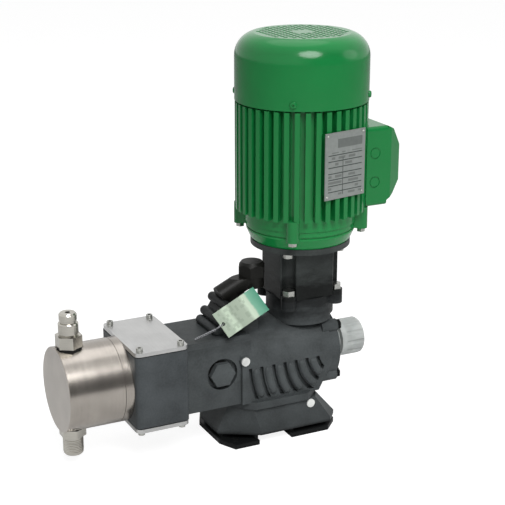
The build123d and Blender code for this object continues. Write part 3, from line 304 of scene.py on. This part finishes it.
def machined_metal(name, colour, rough):
    """Machined or plated metal: even, with a short directionless tool texture."""
    mat, tree, bsdf = new_material(name, Metallic=1.0, Roughness=rough)
    where, _ = place(tree)
    grain = noise(tree, where, 0.9, 3, 0.55)
    metal = ramp(tree, grain, (0.35, tint(colour, 0.74)), (0.65, tint(colour, 1.12)))
    tree.links.new(metal, bsdf.inputs["Base Color"])
    bump(tree, bsdf, grain, 0.03, 0.3)
    return mat


def moulded_plastic(name, colour, rough, gloss=0.5):
    """Injection-moulded plastic: a matt spark-eroded grain and a slow sink-mark wave."""
    mat, tree, bsdf = new_material(name, Roughness=rough, IOR=1.49, Specular_IOR_Level=gloss)
    where, _ = place(tree)
    grain = noise(tree, where, 1.0, 2)
    slow = noise(tree, where, 15, 2)
    plastic = ramp(tree, slow, (0.35, tint(colour, 0.8)), (0.65, tint(colour, 1.1)))
    tree.links.new(plastic, bsdf.inputs["Base Color"])
    bump(tree, bsdf, grain, 0.06, 0.35)
    return mat


def soft_rubber(name, colour):
    """Moulded nitrile rubber: dull black with a fine powdery bloom."""
    mat, tree, bsdf = new_material(name, Roughness=0.72, IOR=1.52, Specular_IOR_Level=0.2)
    where, _ = place(tree)
    bloom = noise(tree, where, 3.5, 4, 0.6)
    rubber = ramp(tree, bloom, (0.35, tint(colour, 0.6)), (0.7, tint(colour, 1.3)))
    tree.links.new(rubber, bsdf.inputs["Base Color"])
    bump(tree, bsdf, bloom, 0.05, 0.4)
    return mat


def lacquered_laminations(name):
    """Stacked steel laminations with copper windings: level stripes 1.5 mm apart."""
    mat, tree, bsdf = new_material(name, Metallic=0.8, Roughness=0.45)
    _, parts = place(tree)
    level = add(tree, "ShaderNodeCombineXYZ", {2: parts[2]}).outputs[0]
    sheets = noise(tree, level, 1.5, 1)
    stripes = ramp(tree, sheets, (0.4, linear("4b4238")), (0.6, linear("8c7b66")))
    tree.links.new(stripes, bsdf.inputs["Base Color"])
    return mat


def between(tree, value, low, high):
    """One between two limits, else zero."""
    above = math_node(tree, "GREATER_THAN", value, low)
    return math_node(tree, "MULTIPLY", above, math_node(tree, "LESS_THAN", value, high))


def window(tree, across, up, left, right, bottom, top):
    """One inside an upright box given in millimetres, else zero."""
    return math_node(tree, "MULTIPLY", between(tree, across, left * MM, right * MM),
                     between(tree, up, bottom * MM, top * MM))


def worn_cells(tree, across, up, wide_mm, high_mm, above):
    """Blocks of a grid, about half of them one, picked by noise: worn print with no
    letters in it."""
    column = math_node(tree, "FLOOR", math_node(tree, "DIVIDE", across, wide_mm * MM))
    row = math_node(tree, "FLOOR", math_node(tree, "DIVIDE", up, high_mm * MM))
    cell = add(tree, "ShaderNodeCombineXYZ", {0: column, 1: row}).outputs[0]
    pick = add(tree, "ShaderNodeTexWhiteNoise", {"Vector": cell}).outputs["Value"]
    return math_node(tree, "GREATER_THAN", pick, above)


def etched_plate(name):
    """Anodised aluminium rating plate: dull silver with blank etched boxes between ruled
    lines 6.2 mm apart, and no lettering."""
    mat, tree, bsdf = new_material(name, Metallic=0.75, Roughness=0.4)
    where, parts = place(tree)
    dx = math_node(tree, "SUBTRACT", parts[0], MOTOR_X)
    across = math_node(tree, "ADD", math_node(tree, "MULTIPLY", dx, cos(PLATE_TURN)),
                       math_node(tree, "MULTIPLY", parts[1], sin(PLATE_TURN)))
    up = math_node(tree, "SUBTRACT", parts[2], PLATE_MID_Z)
    raised = math_node(tree, "ADD", up, 1.0)        # kept above zero for the fraction
    row = math_node(tree, "FRACT", math_node(tree, "DIVIDE", raised, PLATE_ROW * MM))
    inside = window(tree, across, up, -22, 22, -30, 14)
    ruled = math_node(tree, "MULTIPLY", math_node(tree, "LESS_THAN", row, 0.16), inside)
    column = window(tree, across, up, -3.4, -2.6, -30, 8)
    head = window(tree, across, up, -10, 22, 18, 27)
    box = math_node(tree, "MULTIPLY", between(tree, row, 0.38, 0.8), inside)
    box = math_node(tree, "MULTIPLY", box, worn_cells(tree, across, up, 4.4, PLATE_ROW, 0.45))
    etched = math_node(tree, "MAXIMUM", ruled, column)
    etched = math_node(tree, "MAXIMUM", etched, math_node(tree, "MULTIPLY", head, 0.5))
    etched = math_node(tree, "MAXIMUM", etched, math_node(tree, "MULTIPLY", box, 0.42))
    cloud = noise(tree, where, 4, 3)
    shade = blended(tree, etched, 0.8, cloud, 0.2)
    metal = ramp(tree, shade, (0.0, linear("a0a5a2")), (0.2, linear("8b908d")),
                 (1.0, linear("3f4644")))
    tree.links.new(metal, bsdf.inputs["Base Color"])
    bump(tree, bsdf, etched, 0.05, 0.4)
    return mat


def coated_card(name, colour):
    """Coated card tag: pale bands of plain tint across its length, a darker end, and a
    few worn boxes 3 mm high with no letters in them."""
    mat, tree, bsdf = new_material(name, Roughness=0.5, IOR=1.5, Specular_IOR_Level=0.3)
    where, _ = place(tree)
    offset = add(tree, "ShaderNodeVectorMath", {0: where}, operation="SUBTRACT")
    offset.inputs[1].default_value = TAG_MID
    ways = []
    for way in (TAG_X, TAG_Y):
        node = add(tree, "ShaderNodeVectorMath", {0: offset.outputs[0]}, operation="DOT_PRODUCT")
        node.inputs[1].default_value = way
        ways.append(node.outputs["Value"])
    along, across = ways
    cloud = noise(tree, where, 7, 3)
    from_end = math_node(tree, "ADD", along, TAG_LONG / 2)
    stretch = math_node(tree, "DIVIDE", from_end, TAG_LONG)
    waves = math_node(tree, "MULTIPLY", math_node(tree, "SUBTRACT", cloud, 0.5), 0.07)
    wavy = math_node(tree, "ADD", stretch, waves)
    bands = [(at, tint(colour, shade)) for at, shade in TAG_BANDS]
    base = ramp(tree, wavy, *bands, (0.79, linear("6fa48c")), (1.0, linear("43896f")))
    print_area = window(tree, along, across, -24, 11, -12, 12)
    worn = math_node(tree, "MULTIPLY", worn_cells(tree, along, across, 2.6, 3.0, 0.62), print_area)
    soft = math_node(tree, "MULTIPLY", worn, math_node(tree, "MULTIPLY", cloud, 0.55))
    mixed = add(tree, "ShaderNodeMix", data_type="RGBA")
    tree.links.new(soft, mixed.inputs["Factor"])
    tree.links.new(base, mixed.inputs[MIX_A])
    mixed.inputs[MIX_B].default_value = linear("6d7d6c")
    tree.links.new(mixed.outputs[MIX_RESULT], bsdf.inputs["Base Color"])
    return mat


# painted shade by height, darkest near the floor and where housing and adapter meet: (height in mm,
# share of light left)
HOUSING_PAINTED_SHADE = ((0, 0.1), (9.5, 0.12), (13, 0.62), (44, 0.78), (60, 0.95), (100, 1.0),
                 (124, 0.62), (143, 0.22), (158, 0.16))
ADAPTER_PAINTED_SHADE = ((146, 0.16), (160, 0.2), (178, 0.75), (204, 1.0))

FINISHES = {
    # the housing and adapter enamels carry painted shade by height
    "housing_paint": lambda c: cast_enamel("dull_enamel_on_cast_iron", c.housing, 0.46,
                                           HOUSING_PAINTED_SHADE),
    "lantern_paint": lambda c: cast_enamel("dull_enamel_on_lantern", c.lantern, 0.42),
    "adapter_paint": lambda c: cast_enamel("dull_enamel_on_adapter", c.adapter, 0.42,
                                           ADAPTER_PAINTED_SHADE, 140),
    "motor_paint": lambda c: gloss_enamel("stoved_gloss_enamel_on_motor", c.motor),
    "stainless_turned": lambda c: lathe_steel("turned_stainless_bar", c.head, 0),
    "stainless_fitting": lambda c: lathe_steel("turned_stainless_union", c.union, 2, 0.22),
    "plate_metal": lambda c: rolled_plate("rolled_stainless_plate", c.plate),
    "knob_plastic": lambda c: moulded_plastic("pale_moulded_abs", c.knob, 0.42),
    "tag_card": lambda c: coated_card("coated_card", c.tag),
    "black_plastic": lambda c: moulded_plastic("black_moulded_polyamide", linear("161614"),
                                               0.42, 0.14),
    "white_plastic": lambda c: moulded_plastic("white_moulded_polyethylene", linear("d6d8d5"), 0.4),
    "black_rubber": lambda c: soft_rubber("nitrile_rubber", linear("151514")),
    "zinc_screws": lambda c: machined_metal("zinc_plated_screw_steel", linear("b4b5b0"), 0.3),
    "black_bolts": lambda c: machined_metal("black_oxide_bolt_steel", linear("1c1d1d"), 0.42),
    "machined_steel": lambda c: machined_metal("ground_carbon_steel", linear("96979a"), 0.3),
    "bronze": lambda c: machined_metal("hobbed_bronze", linear("b4864a"), 0.35),
    "lamination": lambda c: lacquered_laminations("lacquered_steel_laminations"),
    "plate_print": lambda c: etched_plate("anodised_rating_plate"),
}


# ---- surfaces worked out with numpy ----------------------------------------
def frame_of(axis):
    """Two unit vectors square to axis and to each other, then axis."""
    w = np.array(axis, float)
    w /= np.linalg.norm(w)
    helper = np.array((0.0, 0.0, 1.0)) if abs(w[2]) < 0.9 else np.array((1.0, 0.0, 0.0))
    u = np.cross(helper, w)
    u /= np.linalg.norm(u)
    return u, np.cross(w, u), w


def revolved(profile, centre, axis, segments):
    """Closed surface of revolution.

    A point of the (radius, height) profile at turn t lies at the centre, plus height
    along the axis, plus radius times (cos t, sin t) across it. The profile starts and
    ends on the axis; each end is one vertex, joined by a fan.
    """
    u, v, w = frame_of(axis)
    rims = np.array(profile[1:-1], float)
    t = np.arange(segments) * 2 * pi / segments
    ring = np.cos(t)[:, None] * u + np.sin(t)[:, None] * v
    grid = rims[:, 0, None, None] * ring[None] + rims[:, 1, None, None] * w
    ends = np.array([profile[0][1] * w, profile[-1][1] * w])
    points = np.vstack([grid.reshape(-1, 3), ends]) + np.array(centre)
    rows = len(rims)
    i, j = np.meshgrid(np.arange(rows - 1), np.arange(segments), indexing="ij")
    i, k, m = i * segments, (j + 1) % segments, (i + 1) * segments
    faces = np.stack([i + j, i + k, m + k, m + j], -1).reshape(-1, 4).tolist()
    low, high, last = rows * segments, rows * segments + 1, (rows - 1) * segments
    faces += [[low, (n + 1) % segments, n] for n in range(segments)]
    faces += [[high, last + n, last + (n + 1) % segments] for n in range(segments)]
    return points, faces


def wall_faces(count, around, closed_path):
    """Faces round count closed sections of around points each, carried along a path.

    Quads join each section to the next. An open path gets its two end faces, a closed
    one has its last section joined to the first.
    """
    rows = count if closed_path else count - 1
    i, j = np.meshgrid(np.arange(rows), np.arange(around), indexing="ij")
    i, k, m = i * around, (j + 1) % around, (i + 1) % count * around
    faces = np.stack([i + j, m + j, m + k, i + k], -1).reshape(-1, 4).tolist()
    if not closed_path:
        last = (count - 1) * around
        faces += [list(range(around)), list(range(last + around - 1, last - 1, -1))]
    return faces


def thread(radius, depth, pitch, z0, z1, centre, segments=48):
    """Screw thread as one ridge.

    At turn t the six points of the ridge's section stand at radius + out and at height
    z0 + pitch (t / 2 pi + up). The crest stands out by depth, which fades in and out
    over 0.3 turns; the root lies 0.2 mm inside the spigot.
    """
    count = int((z1 - z0 - pitch) / pitch * segments)
    step = np.arange(count + 1)
    t = step * 2 * pi / segments
    fade = np.clip(np.minimum(step, step[::-1]) / (segments * 0.3), 0.05, 1)
    outs = np.array((-0.2 * MM, 0, depth, depth, 0, -0.2 * MM))
    ups = np.array((0, 0.36, 0.52, 0.62, 0.78, 0.9))
    out = radius + outs * fade[:, None]
    height = z0 + pitch * (t[:, None] / (2 * pi) + ups)
    points = np.stack([out * np.cos(t)[:, None], out * np.sin(t)[:, None], height], -1)
    points = points.reshape(-1, 3) + np.array((*centre, 0.0))
    return points, wall_faces(count + 1, len(ups), False)


def swept(path, outline, up, closed_path=False):
    """Outline carried along a path.

    At each path point the outline's (across, up) pair stands on the two directions
    square to the tangent: across is tangent x up, and up is made square to the tangent.
    outline is (points, 2), or (path points, points, 2) where it changes on the way.
    """
    path = np.array(path, float)
    if closed_path:
        tangent = np.roll(path, -1, 0) - np.roll(path, 1, 0)
    else:
        tangent = np.gradient(path, axis=0)
    tangent /= np.linalg.norm(tangent, axis=1)[:, None]
    across = np.cross(tangent, np.array(up, float))
    across /= np.linalg.norm(across, axis=1)[:, None]
    rise = np.cross(across, tangent)
    outline = np.broadcast_to(outline, (len(path), *np.shape(outline)[-2:]))
    points = path[:, None] + outline[..., :1] * across[:, None]
    points = points + outline[..., 1:] * rise[:, None]
    return points.reshape(-1, 3), wall_faces(len(path), outline.shape[1], closed_path)


def ring_outline(radius, count=10):
    """Circle of points, turned so that the swept faces point outwards."""
    t = -np.arange(count) * 2 * pi / count
    return np.stack([radius * np.cos(t), radius * np.sin(t)], -1)


def pan_screw(centre, out, radius):
    """Pan head with a shallow round recess: its profile is given in shares of its radius
    and revolved round the screw's axis, from 0.4 mm under the surface."""
    dome = [(share * radius, up * radius) for share, up in
            ((1, 0.25), (0.86, 0.5), (0.6, 0.62), (0.34, 0.62), (0.28, 0.2), (0, 0.15))]
    return revolved([(0, -0.4 * MM), (radius, -0.4 * MM), *dome], centre, out, 20)


def joined(parts):
    """Several (points, faces) pairs as one."""
    points, faces, start = [], [], 0
    for part_points, part_faces in parts:
        points.append(part_points)
        faces += [[start + index for index in face] for face in part_faces]
        start += len(part_points)
    return np.vstack(points), faces


def piece(name, points, faces, material_slot, body, smooth_degrees=35):
    """Mesh object at the origin, with its place in its vertices, riding on a body."""
    mesh = bpy.data.meshes.new(name)
    mesh.from_pydata(points.tolist(), [], faces)
    mesh.validate()
    obj = bpy.data.objects.new(name, mesh)
    bpy.context.scene.collection.objects.link(obj)
    mesh.shade_smooth()
    mesh.set_sharp_from_angle(angle=radians(smooth_degrees))
    mesh.materials.append(finish(material_slot))
    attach(obj, body)
    return obj


made_finishes = {}


def finish(slot):
    """The material of a slot, made once."""
    if slot not in made_finishes:
        made_finishes[slot] = FINISHES[slot](bpy.context.scene.pump_colours)
    return made_finishes[slot]


# ---- operators --------------------------------------------------------------
class PUMP_OT_finishes(bpy.types.Operator):
    """Gives every solid of the pump the finish of its material slot"""
    bl_idname = "pump.finishes"
    bl_label = "Finishes"

    def execute(self, context):
        slots = {entry["node"]: entry["material_slot"] for entry in frame["record"]["subparts"]}
        for name, obj in frame["nodes"].items():
            obj.data.materials.clear()
            obj.data.materials.append(finish(slots[name]))
        return {"FINISHED"}


class PUMP_OT_spring_travel(bpy.types.Operator):
    """Gives the return spring a mesh of its own"""
    bl_idname = "pump.spring_travel"
    bl_label = "Spring travel"

    def execute(self, context):
        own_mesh(frame["nodes"]["return_spring"])
        return {"FINISHED"}


class PUMP_OT_plate_rivets(bpy.types.Operator):
    """Adds the four drive rivets of the nameplate"""
    bl_idname = "pump.plate_rivets"
    bl_label = "Nameplate rivets"

    def execute(self, context):
        size = context.scene.pump_sizes.rivet_radius
        out = np.array((sin(PLATE_TURN), -cos(PLATE_TURN), 0.0))
        side = np.array((cos(PLATE_TURN), sin(PLATE_TURN), 0.0))
        dome = [(share * size, up * size) for share, up in
                ((0, 0), (1, 0), (1, 0.3), (0.8, 0.6), (0.4, 0.8), (0, 0.84))]
        parts = []
        for across, up in RIVET_PLACES:
            centre = np.array((MOTOR_X, 0, PLATE_MID_Z + up)) + out * PLATE_FACE + side * across
            parts.append(revolved(dome, centre, out, 16))
        piece("plate_rivets", *joined(parts), "zinc_screws", "pump")
        return {"FINISHED"}


class PUMP_OT_union_threads(bpy.types.Operator):
    """Adds the pipe thread of the suction union"""
    bl_idname = "pump.union_threads"
    bl_label = "Union threads"

    def execute(self, context):
        pitch = context.scene.pump_sizes.thread_pitch
        ridge = thread(SPIGOT_R, THREAD_DEPTH, pitch, *SPIGOT_Z, (VALVE_X, 0))
        piece("suction_union_thread", *ridge, "stainless_fitting", "pump")
        return {"FINISHED"}


class PUMP_OT_rib_crowns(bpy.types.Operator):
    """Adds the rounded crowns of the ribs between the curved cooling grooves"""
    bl_idname = "pump.rib_crowns"
    bl_label = "Rib crowns"

    def execute(self, context):
        height = context.scene.pump_sizes.crown_height
        # section: a half ellipse (half cos t, height sin t) over a foot in the casting;
        # its width and height fade at both ends of the rib
        t = np.linspace(0, pi, 9)
        section = np.vstack([np.stack([CROWN_HALF * np.cos(t), height * np.sin(t)], -1),
                             [(-CROWN_HALF, -CROWN_SINK), (CROWN_HALF, -CROWN_SINK)]])
        is_foot = (np.arange(len(section)) >= len(t))[None]
        parts = []
        for radius in RIB_MIDDLES:
            turn = np.linspace(pi, 1.5 * pi, 160)
            x = RIB_CENTRE[0] + radius * MM * np.cos(turn)
            z = RIB_CENTRE[1] + radius * MM * np.sin(turn)
            inside = (z < 85.2 * MM) & (z > 51 * MM) & (x > -44 * MM)
            inside &= x < 36 * MM + (z - 50 * MM) / 2       # the leaning rear edge
            x, z = x[inside][::4], z[inside][::4]
            path = np.stack([x, np.full_like(x, -BODY_FACE), z], -1)
            along = np.linspace(0, 1, len(path))
            fade = np.clip(np.sin(pi * along) * 2.6, 0.02, 1.0)[:, None] ** 0.5
            scale = np.stack([np.broadcast_to(fade ** 0.5, (len(path), len(section))),
                              np.where(is_foot, 1.0, fade)], -1)
            parts.append(swept(path, section * scale, (0, -1, 0)))
        piece("rib_crowns", *joined(parts), "housing_paint", "pump", 60)
        return {"FINISHED"}


class PUMP_OT_cover_screws(bpy.types.Operator):
    """Adds the pan-head screws of the fan cover and of the terminal box lid"""
    bl_idname = "pump.cover_screws"
    bl_label = "Cover screws"

    def execute(self, context):
        parts = []
        for i in range(4):
            turn = radians(COVER_SCREWS_TURN + 90 * i)
            out = np.array((sin(turn), -cos(turn), 0.0))
            centre = np.array((MOTOR_X, 0, COVER_SCREWS_Z)) + out * COVER_SCREWS_R
            parts.append(pan_screw(centre, out, 3.6 * MM))
        piece("fan_cover_screws", *joined(parts), "motor_paint", "pump")
        parts = [pan_screw((LID_FACE, y, z), (1.0, 0.0, 0.0), 3.1 * MM)
                 for y, z in LID_SCREW_PLACES]
        piece("box_lid_screws", *joined(parts), "zinc_screws", "pump")
        return {"FINISHED"}


class PUMP_OT_tag_wire(bpy.types.Operator):
    """Adds the wire that ties the card tag, with its twisted tail"""
    bl_idname = "pump.tag_wire"
    bl_label = "Tag wire"

    def execute(self, context):
        wire = context.scene.pump_sizes.tie_wire / 2
        x, face = np.array(TAG_X), np.array(TAG_FACE)
        # ring: centre + r (cos t along the tag + sin t through it), in at the punched hole
        edge = np.array(TAG_MID) - TIE_EDGE * x
        t = np.arange(28) * 2 * pi / 28
        ring = edge + TIE_R * (np.cos(t)[:, None] * x + np.sin(t)[:, None] * face)
        parts = [swept(ring, ring_outline(wire), np.cross(x, face), True)]
        # tail: two strands wound round a line at the wire's radius, a turn each 5 mm
        start, end = edge - TIE_R * x, np.array(TAIL_END)
        length = np.linalg.norm(end - start)
        u, v, _ = frame_of(end - start)
        s = np.linspace(0, 1, 60)
        turn = 2 * pi * s * length / TIE_TWIST
        for strand in (0, pi):
            wound = np.cos(turn + strand)[:, None] * u + np.sin(turn + strand)[:, None] * v
            path = start + s[:, None] * (end - start) + wire * 1.02 * wound
            parts.append(swept(path, ring_outline(wire, 8), u))
        piece("tag_wire", *joined(parts), "machined_steel", "pump")
        return {"FINISHED"}


class PUMP_OT_stage(bpy.types.Operator):
    """Adds the white floor, the soft lights and the camera"""
    bl_idname = "pump.stage"
    bl_label = "Stage"

    def execute(self, context):
        scene = context.scene
        signs = ((-1, -1), (1, -1), (1, 1), (-1, 1))
        corners = [(x * FLOOR_HALF, y * FLOOR_HALF, 0) for x, y in signs]
        mesh = bpy.data.meshes.new("floor")
        mesh.from_pydata(corners, [], [(0, 1, 2, 3)])
        floor = bpy.data.objects.new("floor", mesh)
        scene.collection.objects.link(floor)
        mesh.materials.append(paper_sweep())
        for name, place_at, size, power, spread in LAMPS:
            data = bpy.data.lights.new(name, "AREA")
            data.shape, data.size, data.energy = "DISK", size, power
            data.spread = radians(spread)
            lamp = bpy.data.objects.new(name, data)
            lamp.location = place_at
            aim = LAMP_AIM - Vector(place_at)
            lamp.rotation_euler = aim.to_track_quat("-Z", "Y").to_euler()
            scene.collection.objects.link(lamp)
        scene.world = white_room()
        scene.view_settings.view_transform = "Standard"
        camera_data = bpy.data.cameras.new("camera")
        camera_data.lens = CAMERA_LENS
        camera = bpy.data.objects.new("camera", camera_data)
        camera.location, camera.rotation_euler = CAMERA_PLACE, CAMERA_TURN
        scene.collection.objects.link(camera)
        scene.camera = camera
        return {"FINISHED"}


def white_room():
    """World: plain white to the eye and in reflections, dimmer as light on the pump."""
    world = bpy.data.worlds.new("white_room")
    world.use_nodes = True
    tree = world.node_tree
    tree.nodes.clear()
    path = add(tree, "ShaderNodeLightPath")
    seen = math_node(tree, "MAXIMUM", path.outputs["Is Camera Ray"], path.outputs["Is Glossy Ray"])
    seen = math_node(tree, "MAXIMUM", seen, path.outputs["Is Transmission Ray"])
    levels = {"To Min": WORLD_LIGHT, "To Max": 1.0}
    strength = add(tree, "ShaderNodeMapRange", {"Value": seen}, levels).outputs[0]
    # in reflections, the near side of the room is a dim patch in the white
    toward = add(tree, "ShaderNodeTexCoord").outputs["Generated"]
    nearness = add(tree, "ShaderNodeVectorMath", {0: toward}, operation="DOT_PRODUCT")
    nearness.inputs[1].default_value = DIM_SIDE
    dim = add(tree, "ShaderNodeMapRange", {"Value": nearness.outputs["Value"]},
              {"From Min": cos(radians(DIM_EDGE)), "From Max": cos(radians(DIM_CORE)),
               "To Min": 1.0, "To Max": DIM_GREY})
    direct = math_node(tree, "SUBTRACT", 1.0, path.outputs["Is Glossy Ray"])
    dimmed = math_node(tree, "MAXIMUM", dim.outputs[0], direct)
    strength = math_node(tree, "MULTIPLY", strength, dimmed)
    back = add(tree, "ShaderNodeBackground", {"Strength": strength}, {"Color": (1, 1, 1, 1)})
    add(tree, "ShaderNodeOutputWorld", {"Surface": back.outputs[0]})
    return world


def paper_sweep():
    """White paper sweep: white to the eye, and it keeps the pump's soft shadow."""
    mat, tree, bsdf = new_material("white_paper_sweep", Roughness=0.9)
    where, _ = place(tree)
    paper = ramp(tree, noise(tree, where, 60, 2), (0.3, linear("f2f2f2")), (0.7, linear("f4f4f4")))
    tree.links.new(paper, bsdf.inputs["Base Color"])
    out = next(n for n in tree.nodes if n.type == "OUTPUT_MATERIAL")
    glow = add(tree, "ShaderNodeEmission", values={"Color": (1, 1, 1, 1), "Strength": SWEEP_GLOW})
    path = add(tree, "ShaderNodeLightPath")
    share = math_node(tree, "MULTIPLY", path.outputs["Is Camera Ray"], SWEEP_SHARE)
    mixed = add(tree, "ShaderNodeMixShader", {0: share, 1: bsdf.outputs[0], 2: glow.outputs[0]})
    tree.links.new(mixed.outputs[0], out.inputs["Surface"])
    return mat


# ---- sizes, colours, panel and registration ---------------------------------
def colour_of(name, about, hex_code):
    """Colour property with an sRGB hex default."""
    return FloatVectorProperty(name=name, description=about, default=linear(hex_code)[:3],
                               subtype="COLOR", size=3, min=0.0, max=1.0)


def length_of(name, about, millimetres):
    """Length property with a default in millimetres."""
    return FloatProperty(name=name, description=about, default=millimetres * MM, min=0.0,
                         unit="LENGTH")


class PumpSizes(bpy.types.PropertyGroup):
    rivet_radius: length_of("Rivet radius", "Radius of a nameplate rivet's head", 1.3)
    thread_pitch: length_of("Thread pitch", "Pitch of the suction union's thread", 1.8)
    crown_height: length_of("Crown height", "How far a rib's crown stands out", 3.4)
    tie_wire: length_of("Tie wire", "Thickness of the tag's wire", 1.3)


class PumpColours(bpy.types.PropertyGroup):
    housing: colour_of("Housing", "Enamel of the gear housing, covers and base", "484c4d")
    lantern: colour_of("Lantern", "Enamel of the lantern", "44484a")
    adapter: colour_of("Adapter", "Enamel of the motor adapter", "3b3f3e")
    motor: colour_of("Motor", "Gloss enamel of the motor", "126f36")
    head: colour_of("Pump head", "Turned stainless steel of the head", "a59f98")
    union: colour_of("Unions", "Turned stainless steel of the valve unions", "b6b3ab")
    plate: colour_of("Cover plates", "Rolled stainless steel of the lantern covers", "c0c0bf")
    knob: colour_of("Stroke knob", "Plastic of the stroke knob and its scale", "aeb2b0")
    tag: colour_of("Tag", "Card of the hanging tag", "a2b09e")


class PUMP_PT_panel(bpy.types.Panel):
    """Lists the sizes, the colours and the steps that dress the pump"""
    bl_label = "Pump"
    bl_idname = "PUMP_PT_panel"
    bl_space_type = "VIEW_3D"
    bl_region_type = "UI"
    bl_category = "Pump"

    def draw(self, context):
        for group in (context.scene.pump_sizes, context.scene.pump_colours):
            box = self.layout.box()
            for name in group.__annotations__:
                box.prop(group, name)
        for operator in STEPS:
            self.layout.operator(operator.bl_idname)


STEPS = (PUMP_OT_finishes, PUMP_OT_spring_travel, PUMP_OT_plate_rivets,
         PUMP_OT_union_threads, PUMP_OT_rib_crowns, PUMP_OT_cover_screws,
         PUMP_OT_tag_wire, PUMP_OT_stage)
CLASSES = (PumpSizes, PumpColours, *STEPS, PUMP_PT_panel)


def register():
    for cls in CLASSES:
        bpy.utils.register_class(cls)
    bpy.types.Scene.pump_sizes = PointerProperty(type=PumpSizes)
    bpy.types.Scene.pump_colours = PointerProperty(type=PumpColours)


def unregister():
    del bpy.types.Scene.pump_colours
    del bpy.types.Scene.pump_sizes
    for cls in reversed(CLASSES):
        bpy.utils.unregister_class(cls)


def main():
    register()
    for operator in STEPS:
        group, name = operator.bl_idname.split(".")
        getattr(getattr(bpy.ops, group), name)()


if __name__ == "__main__":
    main()
